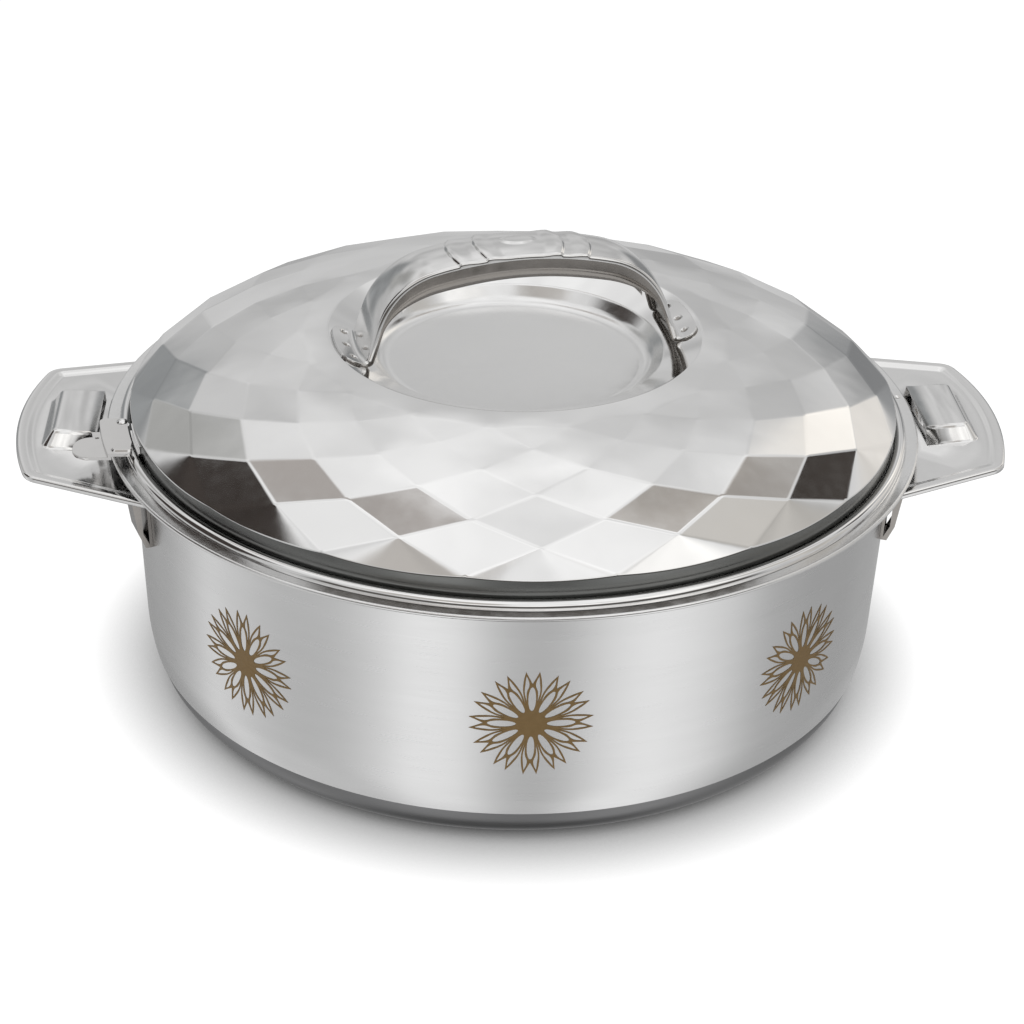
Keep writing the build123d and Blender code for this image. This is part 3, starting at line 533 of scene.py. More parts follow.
def softened(node, material, body, width, sharp=30):
    """Copy of a CAD node with its edges bevelled."""
    form = bmesh.new()
    form.from_mesh(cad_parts[node].data)
    bmesh.ops.remove_doubles(form, verts=form.verts, dist=CAD_JOIN)
    bmesh.ops.dissolve_limit(form, angle_limit=radians(1), verts=form.verts, edges=form.edges)
    edges = [edge for edge in form.edges if edge.is_manifold and edge.calc_face_angle() > radians(sharp)]
    bmesh.ops.bevel(form, geom=edges, offset=width, segments=2, profile=0.5, affect="EDGES", clamp_overlap=True)
    bmesh.ops.remove_doubles(form, verts=form.verts, dist=SLIVER)
    bmesh.ops.dissolve_degenerate(form, dist=SLIVER, edges=form.edges)
    mesh = bpy.data.meshes.new(node)
    form.to_mesh(mesh)
    form.free()
    smooth(mesh, 35)
    piece = new_object(node + "_soft", mesh, material, body, (node,))
    normals = piece.modifiers.new("Normals", "WEIGHTED_NORMAL")
    normals.keep_sharp = True
    return piece


# ---- pot -----------------------------------------------------------------------------------------
CURVE_STEPS = 10         # steps on the shell's lower curve
HEM_STEPS = 20           # steps round the hem of the rim ring
BEAD_STEPS = 24          # steps over the bead of the bowl
FOOT_FILLET = 0.6 * MM   # rounding of the two small bends in the base


def shell_radius(sizes, z):
    """Outer radius of the shell at a height on its tapered wall."""
    return SHELL_R - sizes.shell_draft * (SHELL_TOP - z) / (SHELL_TOP - sizes.curve_z)


def build_pot(sizes):
    """Shell, base cap, bowl and rim ring as spun sheets."""
    curve_r = SHELL_R - sizes.shell_draft
    wall_lean = atan2(sizes.shell_draft, SHELL_TOP - sizes.curve_z)
    chord = Vector((curve_r - CAP_R, sizes.curve_z - sizes.cap_z))
    curve_turn = 2 * (atan2(chord.x, chord.y) - wall_lean)
    lower = [Vector((CAP_R, sizes.cap_z))]
    for step in range(1, CURVE_STEPS + 1):
        share = step / CURVE_STEPS
        lean = wall_lean + curve_turn * (1 - share / 2)
        lower.append(lower[0] + Vector((sin(lean), cos(lean))) * chord.length * share)
    wall = lower[:-1] + [Vector((curve_r, sizes.curve_z)), Vector((SHELL_R, SHELL_TOP))]
    spun_sheet("shell_wall", wall, sizes.sheet, "satin steel", "pot", "outer_shell")

    lip_r = CAP_R - sizes.sheet - sizes.weld_gap
    foot_r = CAP_R - sizes.cap_corner - sizes.foot_width
    base = rounded([
        (0, sizes.foot_recess),
        (foot_r - sizes.foot_recess, sizes.foot_recess, FOOT_FILLET),
        (foot_r, 0, FOOT_FILLET),
        (lip_r, 0, sizes.cap_corner),
        (lip_r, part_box("base_cap")[1][2]),
    ])
    spun_sheet("base_pan", base, sizes.sheet, "dark satin steel", "pot", "base_cap")

    ring_z = SHELL_TOP + sizes.weld_gap
    ring_top = ring_z + sizes.ring_thick
    hem_r = RING_R - sizes.hem
    hem_z = (ring_z + ring_top) / 2
    open_turn = asin(sizes.ring_thick / 2 / sizes.hem)
    turns = [open_turn + (2 * pi - 2 * open_turn) * k / HEM_STEPS for k in range(HEM_STEPS + 1)]
    hem = [Vector((hem_r - sizes.hem * cos(turn), hem_z - sizes.hem * sin(turn))) for turn in turns]
    inner_r = SHELL_R - sizes.ring_lap
    ring = [Vector((inner_r, ring_z)), *hem, Vector((inner_r, ring_top))]
    new_object("rim_flange", spun_mesh("rim_ring", ring), "rim steel", "pot", ("rim_ring",))

    bead_in = BEAD_R - sizes.bead_width
    ledge = ring_top + sizes.weld_gap + sizes.bowl_sheet
    foot = ring_top + sizes.weld_gap
    middle = Vector(((bead_in + BEAD_R) / 2, 0))
    half = sizes.bead_width / 2
    rise = BEAD_TOP - ledge
    bead_r = (half**2 + rise**2) / (2 * rise)
    middle.y = BEAD_TOP - bead_r
    reach = asin(min(1, half / bead_r)) if middle.y <= ledge else pi - asin(half / bead_r)
    turns = [reach - 2 * reach * k / BEAD_STEPS for k in range(BEAD_STEPS + 1)]
    bead = [middle + Vector((sin(turn), cos(turn))) * bead_r for turn in turns]
    bowl_r = SHELL_R - sizes.sheet - sizes.insulation - sizes.bowl_sheet
    inside = rounded([
        (bead_in, ledge),
        (bowl_r, ledge, sizes.bowl_lip),
        (bowl_r, sizes.floor_z, sizes.bowl_corner),
        (0, sizes.floor_z),
    ])
    bowl = [Vector((BEAD_R, foot)), *bead, *inside[1:]]
    spun_sheet("bowl_wall", bowl, sizes.bowl_sheet, "mirror steel", "pot", "inner_bowl")


# ---- prints --------------------------------------------------------------------------------------
def petal_outlines(half_sector):
    """Outline and holes of one petal of a flower of radius 1, along +X.

    Each point is (radius, angle in degrees, whether it is a sharp corner).
    """
    half = half_sector
    edge = [(0.40, half, True), (0.62, 13.6, False), (0.84, 9.6, False), (1.0, 6.2, True), (0.88, 3.6, False)]
    border = [(0, 0, True), *[(r, -a, sharp) for r, a, sharp in edge], (0.765, 0, True)]
    border += [(r, a, sharp) for r, a, sharp in reversed(edge)]
    leaf = [(0.44, 11.2, True), (0.62, 8.0, False), (0.73, 4.1, False), (0.82, 4.3, False), (0.92, 6.3, True)]
    leaf += [(0.79, 8.2, False), (0.62, 11.2, False)]
    other = [(r, -a, sharp) for r, a, sharp in leaf]
    oval = [(0.475 + 0.232 * cos(2 * pi * k / 16), 0.061 * sin(2 * pi * k / 16)) for k in range(16)]
    return border, (leaf, other), oval


def bezier_outline(curve, points, scale):
    """Closed Bezier spline through polar points, sharp where they say so."""
    spline = curve.splines.new("BEZIER")
    spline.bezier_points.add(len(points) - 1)
    spline.use_cyclic_u = True
    spline.resolution_u = 6
    for point, (r, turn, sharp) in zip(spline.bezier_points, points):
        point.co = (scale * r * cos(radians(turn)), scale * r * sin(radians(turn)), 0)
        point.handle_left_type = point.handle_right_type = "VECTOR" if sharp else "AUTO"


def build_prints(pot, sizes):
    """Flower prints, wrapped on the tapered shell."""
    curve = bpy.data.curves.new("petal", "CURVE")
    curve.dimensions = "2D"
    curve.fill_mode = "FRONT"
    border, leaves, oval = petal_outlines(180 / sizes.petals)
    bezier_outline(curve, border, sizes.radius)
    for leaf in leaves:
        bezier_outline(curve, leaf, sizes.radius)
    hole = curve.splines.new("POLY")
    hole.points.add(len(oval) - 1)
    hole.use_cyclic_u = True
    for point, (x, y) in zip(hole.points, oval):
        point.co = (sizes.radius * x, sizes.radius * y, 0, 1)
    petal = bpy.data.objects.new("petal", curve)
    bpy.context.scene.collection.objects.link(petal)
    flat = bpy.data.meshes.new_from_object(petal)
    bpy.data.objects.remove(petal)
    flower = copies_round_axis(flat, sizes.petals, 2 * pi / sizes.petals, 0.01 * MM, "bronze print")

    form = bmesh.new()
    form.from_mesh(flower)
    bmesh.ops.recalc_face_normals(form, faces=form.faces)
    if sum(face.normal.z * face.calc_area() for face in form.faces) < 0:
        bmesh.ops.reverse_faces(form, faces=form.faces)
    lean = atan2(pot.shell_draft, SHELL_TOP - pot.curve_z)
    tops = bmesh.ops.extrude_face_region(form, geom=form.faces[:])["geom"]
    for vertex in form.verts:
        vertex.co.z = sizes.lift
    for vertex in tops:
        if isinstance(vertex, bmesh.types.BMVert):
            vertex.co.z = sizes.lift + sizes.film
    for vertex in form.verts:
        across, along, out = vertex.co
        z = sizes.middle_z + along * cos(lean)
        radius = shell_radius(pot, z) + out
        turn = across / shell_radius(pot, sizes.middle_z)
        vertex.co = (radius * cos(turn), radius * sin(turn), z)
    bmesh.ops.recalc_face_normals(form, faces=form.faces)
    if form.calc_volume(signed=True) < 0:
        bmesh.ops.reverse_faces(form, faces=form.faces)
    wrapped = bpy.data.meshes.new("flower_prints")
    form.to_mesh(wrapped)
    form.free()
    prints = copies_round_axis(wrapped, sizes.flowers, sizes.spacing, 0.0, "bronze print")
    prints.transform(Matrix.Rotation(sizes.first, 4, "Z"))
    smooth(prints, 30)
    new_object("flower_prints", prints, "bronze print", "pot")


# ---- lid -----------------------------------------------------------------------------------------
ROW_WIDTHS = (6.8, 7.5, 9.4, 9.3, 9.9, 9.6)    # radial width of each row of facets, in millimetres
SECTOR_COLUMNS = 16                            # columns over one facet


def facet_rings(sizes):
    """Radius and height of each ring of facet corners, from the skirt's top edge inwards."""
    edge_z = SKIRT_Z + sizes.skirt_height
    rings = [(LID_R, edge_z), (LID_R - ROW_WIDTHS[0] * MM, edge_z + sizes.first_rise)]
    for width in ROW_WIDTHS[1:]:
        (outer_r, outer_z), (middle_r, middle_z) = rings[-2:]
        slope = (middle_z - outer_z) / (middle_r * cos(pi / sizes.facets) - outer_r)
        inner_r = middle_r - width * MM
        rings.append((inner_r, outer_z + slope * (inner_r - outer_r)))
    return rings


def polar(radius, turn, z):
    """Point at this radius, angle and height."""
    return Vector((radius * cos(turn), radius * sin(turn), z))


def lid_sector(sizes):
    """One sector of the dome: its flat facets, skirt, band, seat and dish."""
    rings = facet_rings(sizes)
    half = pi / sizes.facets
    turns = [2 * half * k / SECTOR_COLUMNS for k in range(SECTOR_COLUMNS + 1)]
    form = bmesh.new()

    marks = (0, sizes.edge, 0.25, 0.5, 0.75, 1 - sizes.edge, 1)

    def strip(lower, upper):
        """Faces between two rows of points."""
        for k in range(len(lower) - 1):
            form.faces.new([form.verts.new(p) for p in (lower[k], lower[k + 1], upper[k + 1], upper[k])])

    def pillow(outer, left, inner, right, bulge):
        """Four-sided facet, with its middle bulged out a little."""
        out = (left - right).cross(inner - outer).normalized()
        out *= -1 if out.z < 0 else 1
        grid = []
        for u in marks:
            for v in marks:
                point = outer.lerp(left, u).lerp(right.lerp(inner, u), v)
                grid.append(form.verts.new(point + out * 16 * u * (1 - u) * v * (1 - v) * bulge))
        side = len(marks)
        for i in range(side - 1):
            for j in range(side - 1):
                k = i * side + j
                form.faces.new((grid[k], grid[k + side], grid[k + side + 1], grid[k + 1]))

    def fan(curved, tip):
        """Flat facet between a curved row of points and its tip."""
        rows = [[point.lerp(tip, mark) for point in curved] for mark in marks[:-1]]
        for lower, upper in zip(rows, rows[1:]):
            strip(lower, upper)
        for here, there in zip(rows[-1], rows[-1][1:]):
            form.faces.new([form.verts.new(point) for point in (here, there, tip)])

    for row in range(len(rings) - 2):
        middle = 0 if row % 2 == 0 else half
        outer, side, inner = rings[row:row + 3]
        pillow(
            polar(outer[0], middle, outer[1]),
            polar(side[0], middle + half, side[1]),
            polar(inner[0], middle, inner[1]),
            polar(side[0], middle - half, side[1]),
            sizes.bulge * (1 + row),
        )

    first, second = rings[0], rings[1]
    slope = (second[1] - first[1]) / (first[0] * cos(half) - second[0])
    scallop = []
    for turn in turns:
        drop = sizes.scallop * slope * first[0] * (cos(turn - half) - cos(half))
        scallop.append(polar(first[0] - sizes.skirt_flare * drop / sizes.skirt_height, turn, first[1] - drop))
    fan(scallop, polar(second[0], half, second[1]))

    foot = first[0] - sizes.skirt_flare
    edge = ((0, 0), (0.05 * MM, 0.4 * MM))
    rows = [[polar(foot + out, turn, SKIRT_Z + up) for turn in turns] for out, up in edge]
    for share in (0.35, 0.7):
        rows.append([polar(hypot(p.x, p.y) - sizes.skirt_flare * (1 - share) * (p.z - SKIRT_Z) / sizes.skirt_height,
                           turn, SKIRT_Z + (p.z - SKIRT_Z) * share) for p, turn in zip(scallop, turns)])
    rows.append([polar(hypot(p.x, p.y) - 0.04 * MM, turn, p.z - 0.35 * MM) for p, turn in zip(scallop, turns)])
    rows.append(scallop)
    for lower, upper in zip(rows, rows[1:]):
        strip(lower, upper)

    before, last = rings[-2], rings[-1]
    chord = [polar(last[0] * cos(half) / cos(turn - half), turn, last[1]) for turn in turns]
    fan(chord[::-1], polar(before[0], half, before[1]))
    dish_r = last[0] - sizes.band_width
    seat_r = dish_r - sizes.seat_width
    seat_z = DISH_RIM_Z - sizes.seat_drop
    floor_r = seat_r - sizes.wall_width
    floor_z = seat_z - sizes.wall_drop
    line = rounded([
        (last[0] * cos(half) - 1.5 * MM, last[1] + 0.25 * MM),
        (dish_r, DISH_RIM_Z + 0.02 * MM, 1.0 * MM),
        (seat_r, seat_z, 1.8 * MM),
        (floor_r, floor_z, 6.5 * MM),
        (0, floor_z),
    ])
    previous = chord
    for point in line:
        current = [polar(point.x, turn, point.y) for turn in turns]
        strip(previous, current)
        previous = current
    bmesh.ops.remove_doubles(form, verts=form.verts, dist=SAME_POINT)
    mesh = bpy.data.meshes.new("lid_sector")
    form.to_mesh(mesh)
    form.free()
    return mesh


def build_dome(sizes):
    """Faceted dome: eighteen sectors joined and given a wall thickness.

    The dish has a softer finish, and the upright skirt a darker steel: painted shade that stands in for the dark
    reflections on it.
    """
    mesh = copies_round_axis(lid_sector(sizes), sizes.facets, 2 * pi / sizes.facets, 0.002 * MM, "dome steel")
    first_vertex = radians(-90) + sizes.turn
    mesh.transform(Matrix.Rotation(first_vertex, 4, "Z"))
    smooth(mesh, 75)
    dome = new_object("faceted_dome", mesh, "dome steel", "lid", ("lid_dome",))
    mesh.materials.append(finish("dish steel"))
    mesh.materials.append(finish("shaded steel"))
    seat_r = facet_rings(sizes)[-1][0] - sizes.band_width - sizes.seat_width
    # The upright skirt takes the darkened steel: painted shade for the dark reflections on it.
    for face in mesh.polygons:
        from_axis = hypot(face.center.x, face.center.y)
        if from_axis < seat_r + 1.5 * MM:
            face.material_index = 1
        elif from_axis > LID_R - 2 * MM and abs(face.normal.z) < 0.3:
            face.material_index = 2
    wall = dome.modifiers.new("Wall", "SOLIDIFY")
    wall.thickness = sizes.sheet
    wall.offset = -1


def build_liner(pot, sizes):
    """Inner sheet of the lid with its shallow plug."""
    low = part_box("lid_liner")[0][2]
    edge = corner("lid_liner")[0]
    flange = SKIRT_Z + pot.weld_gap
    plug = SHELL_R - pot.sheet - pot.insulation - pot.bowl_sheet - sizes.plug_gap
    line = rounded([(0, low), (plug, low, 3 * MM), (plug, flange, 1.5 * MM), (edge, flange)])
    spun_sheet("lid_plug", line, sizes.liner_sheet, "satin steel", "lid", "lid_liner")


# ---- lid handle ------------------------------------------------------------------------------------
# Stations on each stretch of half the strap, from its top to the end of a foot
ARC_STATIONS, CORNER_STATIONS, LEG_STATIONS, BEND_STATIONS, FOOT_STATIONS = 110, 26, 8, 10, 28


def arc_to(points, end, steps):
    """Adds a tangent arc to a list of (x, z, heading) stations."""
    x, z, heading = points[-1]
    chord = Vector((end[0] - x, end[1] - z))
    bend = 2 * (atan2(chord.y, chord.x) - heading)
    for step in range(1, steps + 1):
        share = step / steps
        reach = chord.length * sin(bend * share / 2) / sin(bend / 2)
        direction = heading + bend * share / 2
        points.append((x + reach * cos(direction), z + reach * sin(direction), heading + bend * share))


def grip_stations(lid, sizes):
    """(x, z, heading) stations of the strap's visible side, from its top to the foot at +X.

    The second value is the index of the first station of the bend between the leg and the foot.
    """
    rings = facet_rings(lid)
    dish_r = rings[-1][0] - lid.band_width
    seat_r = dish_r - lid.seat_width
    seat_z = DISH_RIM_Z - lid.seat_drop
    slope = lid.seat_drop / lid.seat_width
    top = DISH_RIM_Z + sizes.rise + lid.sheet / 2
    leg_x = dish_r - sizes.leg_inset
    stations = [(0, top, 0)]
    arc_to(stations, (leg_x - sizes.corner_width, top - sizes.arc_drop), ARC_STATIONS)
    arc_to(stations, (leg_x, top - sizes.arc_drop - sizes.corner_drop), CORNER_STATIONS)
    x, z, heading = stations[-1]
    seat_heading = atan2(slope, 1)
    turn = seat_heading - heading
    reach = sizes.foot_bend * tan(turn / 2)
    skin = lid.sheet + 0.05 * MM
    level = seat_z + skin * sqrt(1 + slope**2)
    drop = (z - level - slope * (x - seat_r)) / (slope * cos(heading) - sin(heading))
    straight = drop - reach
    for step in range(1, LEG_STATIONS + 1):
        share = straight * step / LEG_STATIONS
        stations.append((x + share * cos(heading), z + share * sin(heading), heading))
    bend_x, bend_z, _ = stations[-1]
    foot_start = (
        bend_x + reach * (cos(heading) + cos(seat_heading)),
        bend_z + reach * (sin(heading) + sin(seat_heading)),
    )
    arc_to(stations, foot_start, BEND_STATIONS)
    foot_length = (dish_r - sizes.foot_margin - foot_start[0]) / cos(seat_heading)
    x, z, heading = stations[-1]
    for step in range(1, FOOT_STATIONS + 1):
        share = foot_length * step / FOOT_STATIONS
        stations.append((x + share * cos(heading), z + share * sin(heading), heading))
    return stations, len(stations) - FOOT_STATIONS - BEND_STATIONS


def ease(value, low, high):
    """Smooth step from 0 at low to 1 at high."""
    share = min(1, max(0, (value - low) / (high - low)))
    return share * share * (3 - 2 * share)


OVAL_HALF = (5.6 * MM, 3.4 * MM)         # half length and half width of the oval on the strap's top
OVAL_SHIFT = 0.3 * MM                    # distance of that oval from the strap's middle line
RIDGE_PLACES = (11 * MM, 19.5 * MM)      # distances of the curved ridges from the strap's middle
RIDGE_BOW = 2.2 * MM                     # how far the middle of a ridge bows outwards


def pressed_height(x, y, sizes):
    """Height of the strap's pressed ridges at a point of its visible side."""
    oval = hypot(x / OVAL_HALF[0], (y - OVAL_SHIFT) / OVAL_HALF[1])
    height = 0.8 * sizes.ridge * (1 - ease(oval, 0.72, 1.08))
    for middle in RIDGE_PLACES:
        ahead = abs(x) - middle - RIDGE_BOW * (1 - (y / (10 * MM))**2)
        rise = ease(ahead, -6 * MM, -0.6 * MM) if ahead < 0 else 1 - ease(ahead, 0, 0.9 * MM)
        height += sizes.ridge * rise
    return height


DIMPLE_ROW = (10 * MM, 0.8 * MM, -8.2 * MM)      # places of a foot's spot welds across the strap
DIMPLE_INSET = 3.6 * MM                          # distance from a foot's end to that row


def build_grip(lid, sizes):
    """Arched strap: crowned top, side flanges that run out at the legs, and two welded feet."""
    half_line, foot_index = grip_stations(lid, sizes)
    slope = lid.seat_drop / lid.seat_width
    top = half_line[0][1]
    low = half_line[foot_index][1]
    end_x = half_line[-1][0]
    bend_end = foot_index + BEND_STATIONS - 1
    foot_x = half_line[bend_end][0]
    lengths = [0.0]
    for (x0, z0, _), (x1, z1, _) in zip(half_line, half_line[1:]):
        lengths.append(lengths[-1] + hypot(x1 - x0, z1 - z0))
    rows = []
    across = 56
    for index, (x, z, heading) in enumerate(half_line):
        down = ease(top - z, 2 * MM, top - low)
        foot = ease(index, foot_index, bend_end)
        half = sizes.half_width + (sizes.leg_half_width - sizes.half_width) * down
        half += (sizes.foot_half_width - sizes.leg_half_width) * foot
        depth = sizes.depth + (2.2 * MM - sizes.depth) * ease(top - z, 1 * MM, 22 * MM)
        depth += (0.75 * MM - depth) * foot
        crown = sizes.crown * (1 - 0.6 * down) * (1 - foot)
        edge = sizes.edge + (0.3 * MM - sizes.edge) * foot
        left_over = lengths[-1] - lengths[index]
        if left_over < 4 * MM:
            half -= 4 * MM * (1 - sqrt(max(0, 1 - (1 - left_over / (4 * MM))**2)))
        section = [(half, -depth), (half, -(depth + edge) / 2), (half, -edge - 0.1 * MM)]
        for step in range(7):
            turn = step / 6 * pi / 2
            section.append((half - edge + edge * cos(turn), -edge + edge * sin(turn)))
        flat = half - edge
        for step in range(1, across):
            y = flat * (1 - 2 * step / across)
            section.append((y, crown * (1 - (y / flat)**2)))
        section += [(-y, out) for y, out in section[9::-1]]
        row = []
        for y, out in section:
            if not foot and abs(y) < half and out > -edge:
                out += pressed_height(x, y, sizes)
            px = x - out * sin(heading)
            pz = z + out * cos(heading)
            on_arc = sqrt(end_x**2 - y**2) - end_x
            along = min(1, max(0, (x - foot_x) / (end_x - foot_x)))
            px += on_arc * along
            pz += foot * slope * (hypot(px, y) - px + on_arc * along)
            for weld in DIMPLE_ROW:
                near = hypot(hypot(px, y) - end_x + DIMPLE_INSET, y - weld) / (1.4 * MM)
                pz -= 0.7 * MM * (1 - ease(near, 0.35, 1.0)) * foot
            row.append(Vector((px, y, pz)))
        rows.append(row)
    grid = [[Vector((-p.x, p.y, p.z)) for p in row] for row in rows[:0:-1]] + rows
    width = len(grid[0])
    vertices = [point for row in grid for point in row]
    faces = [
        (i * width + j, i * width + j + 1, (i + 1) * width + j + 1, (i + 1) * width + j)
        for i in range(len(grid) - 1) for j in range(width - 1)
    ]
    mesh = bpy.data.meshes.new("lid_handle_strap")
    mesh.from_pydata(vertices, [], faces)
    mesh.transform(Matrix.Rotation(lid.turn, 4, "Z"))
    smooth(mesh, 60)
    strap = new_object("grip_strap", mesh, "strap steel", "lid", ("lid_handle_strap",))
    # Painted shade: the flanges and the weld dimples take the darkened steel.
    mesh.materials.append(finish("dull steel"))
    for face in mesh.polygons:
        column = face.index % (width - 1)
        on_flange = column < 2 or column > width - 4
        ring = hypot(face.center.x, face.center.y) - end_x + DIMPLE_INSET
        across_foot = -face.center.x * sin(lid.turn) + face.center.y * cos(lid.turn)
        in_dimple = min(hypot(ring, across_foot - weld) for weld in DIMPLE_ROW) < 1.0 * MM
        face.material_index = 1 if on_flange or in_dimple else 0
    wall = strap.modifiers.new("Wall", "SOLIDIFY")
    wall.thickness = lid.sheet
    wall.offset = -1
    # Through this offset the inside of the strap takes the darkened steel too: painted shade.
    wall.material_offset = 1


# ---- side handles ----------------------------------------------------------------------------------
ROLL_R = 0.9 * MM        # radius of the rolled outer edge of a side handle


def wing_loop(sizes, inset):
    """Outline of the side handle drawn in by inset, anticlockwise from its root corner at -Y."""
    root_r = shell_root(sizes) + inset
    corner_x = SHELL_R + sizes.reach - sizes.bulge
    root_x = sqrt(shell_root(sizes)**2 - sizes.root_half**2)
    arc_r = (sizes.corner_half**2 + sizes.bulge**2) / (2 * sizes.bulge)
    centre = Vector((SHELL_R + sizes.reach - arc_r, 0))
    along = Vector((corner_x - root_x, sizes.root_half - sizes.corner_half)).normalized()
    inward = Vector((-along.y, along.x))
    fillet = max(0.8 * MM, sizes.corner_r - inset)
    base = Vector((root_x, -sizes.root_half)) + inward * inset
    track = base + inward * fillet - centre
    reach = arc_r - inset - fillet
    ahead = -track.dot(along) + sqrt(track.dot(along)**2 - track.length_squared + reach**2)
    middle = centre + track + along * ahead
    line_end = middle - inward * fillet
    back = base.dot(along)
    start = base + along * (-back + sqrt(back**2 - base.length_squared + root_r**2))
    points = [start.lerp(line_end, k / 24) for k in range(24)]
    first = atan2(-inward.y, -inward.x)
    final = atan2((middle - centre).y, (middle - centre).x)
    for k in range(14):
        turn = first + (final - first) * k / 14
        points.append(middle + Vector((cos(turn), sin(turn))) * fillet)
    for k in range(25):
        turn = final * (1 - k / 24)
        points.append(centre + Vector((cos(turn), sin(turn))) * (arc_r - inset))
    points += [Vector((p.x, -p.y)) for p in points[-2::-1]]
    root_turn = atan2(-start.y, start.x)
    for k in range(1, 24):
        turn = root_turn * (1 - k / 12)
        points.append(Vector((cos(turn), sin(turn))) * root_r)
    return points


def shell_root(sizes):
    """Radius of the shell where the side handle meets it."""
    pot = bpy.context.scene.casserole_pot
    return shell_radius(pot, SHELL_TOP - sizes.drop) + pot.weld_gap


def boss_path(sizes, share):
    """Open outline of the boss, drawn in by this share of its leans."""
    side = sizes.boss_side_lean * share
    near_x = SHELL_R + sizes.boss_offset + 0.3 * MM * share
    far_x = SHELL_R + sizes.boss_offset + sizes.boss_length - sizes.boss_far_lean * share
    near_half = sizes.boss_near_half - side
    far_half = sizes.boss_far_half - side
    fillet = max(1.2 * MM, sizes.boss_corner - 0.5 * side)
    return rounded([(near_x, -near_half), (far_x, -far_half, fillet), (far_x, far_half, fillet), (near_x, near_half)])


def wing_mesh(sizes):
    """Pressed sheet of the right side handle, level and without its thickness."""
    z = SHELL_TOP - sizes.drop
    form = bmesh.new()
    section = [(0.15 * MM, -sizes.hem), (0, 0.3 * MM - sizes.hem), (0, -1.0 * MM)]
    section += [(ROLL_R * (1 - cos(k * pi / 12)), -ROLL_R * (1 - sin(k * pi / 12))) for k in range(7)]
    section += [(1.3 * MM, 0)]
    inner = sizes.border - 1.1 * MM
    section += [(inner + 3.2 * MM * k / 10, -sizes.sink * ease(k, 0, 10)) for k in range(11)]
    section += [(inner + 3.5 * MM, -sizes.sink)]
    rings = []
    for inset, height in section:
        ring = []
        for x, y in wing_loop(sizes, inset):
            deep = height
            if height < -sizes.sink and hypot(x, y) < shell_root(sizes) + inset + 0.01 * MM:
                deep = height * sizes.flange / sizes.hem
            ring.append(form.verts.new((x, y, z + deep)))
        rings.append(ring)
    for lower, upper in zip(rings, rings[1:]):
        for k in range(len(lower)):
            following = (k + 1) % len(lower)
            form.faces.new((lower[k], lower[following], upper[following], upper[k]))
    panel_z = z - sizes.sink
    profile = [(-0.10, 0.0), (0.02, 0.015), (0.10, 0.07), (0.2, 0.17)]
    profile += [(0.75, 0.80), (0.88, 0.92), (1.02, 0.985), (1.2, 1.0)]
    paths = []
    for share, rise in profile:
        paths.append([form.verts.new((p.x, p.y, panel_z + sizes.boss_height * rise)) for p in boss_path(sizes, share)])
    for lower, upper in zip(paths, paths[1:]):
        for k in range(len(lower) - 1):
            form.faces.new((lower[k], lower[k + 1], upper[k + 1], upper[k]))
    form.faces.new(paths[-1])
    lip_x = SHELL_R + sizes.boss_offset + sizes.boss_lip
    lip = [form.verts.new((lip_x, side * (sizes.boss_near_half - sizes.boss_lip / 2), panel_z)) for side in (-1, 1)]
    form.faces.new((paths[0][0], lip[0], lip[1], paths[0][-1]))
    hole = [form.edges.get((paths[0][k], paths[0][k + 1])) for k in range(len(paths[0]) - 1)]
    hole.append(form.edges.get((paths[0][-1], paths[0][0])))
    last = rings[-1]
    border = [form.edges.get((last[k], last[(k + 1) % len(last)])) for k in range(len(last))]
    filled = bmesh.ops.triangle_fill(form, use_beauty=True, use_dissolve=False, edges=hole + border, normal=(0, 0, 1))
    for face in [item for item in filled["geom"] if isinstance(item, bmesh.types.BMFace)]:
        if face.normal.z < 0:
            face.normal_flip()
    mesh = bpy.data.meshes.new("side_handle")
    form.to_mesh(mesh)
    form.free()
    return mesh


def build_wings(sizes):
    """Both side handles, tilted and given their thickness."""
    pivot = Vector((SHELL_R, 0, SHELL_TOP - sizes.drop))
    tilt = Matrix.Translation(pivot) @ Matrix.Rotation(-sizes.tilt, 4, "Y") @ Matrix.Translation(-pivot)
    for side, turn in (("right", 0), ("left", pi)):
        mesh = wing_mesh(sizes)
        mesh.transform(Matrix.Rotation(turn, 4, "Z") @ tilt)
        smooth(mesh, 60)
        wing = new_object("wing_" + side, mesh, "wing steel", "pot", ("side_handle_" + side,))
        wall = wing.modifiers.new("Wall", "SOLIDIFY")
        wall.thickness = sizes.sheet
        wall.offset = -1


# ---- small fittings --------------------------------------------------------------------------------
def build_fittings():
    """Legs, latch, rivets and lug with softened edges, and the finish of the hidden foam."""
    # The legs under the side handles take the darkened steel: painted shade.
    for side in ("left", "right"):
        for end in ("front", "back"):
            softened(f"handle_leg_{side}_{end}", "dull steel", "pot", 0.25 * MM)
    softened("latch_lever", "latch steel", "latch", 0.18 * MM)
    softened("lid_lug", "mirror steel", "lid", 0.12 * MM)
    softened("lid_handle_liner", "strap steel", "lid", 0.12 * MM)
    for node in ("latch_rivet", "rim_rivet", "latch_washer"):
        softened(node, "mirror steel", "pot", 0.08 * MM, 50)
    for node in ("pot_insulation", "lid_insulation"):
        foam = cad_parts[node]
        foam.data.materials.clear()
        foam.data.materials.append(finish("rigid foam"))


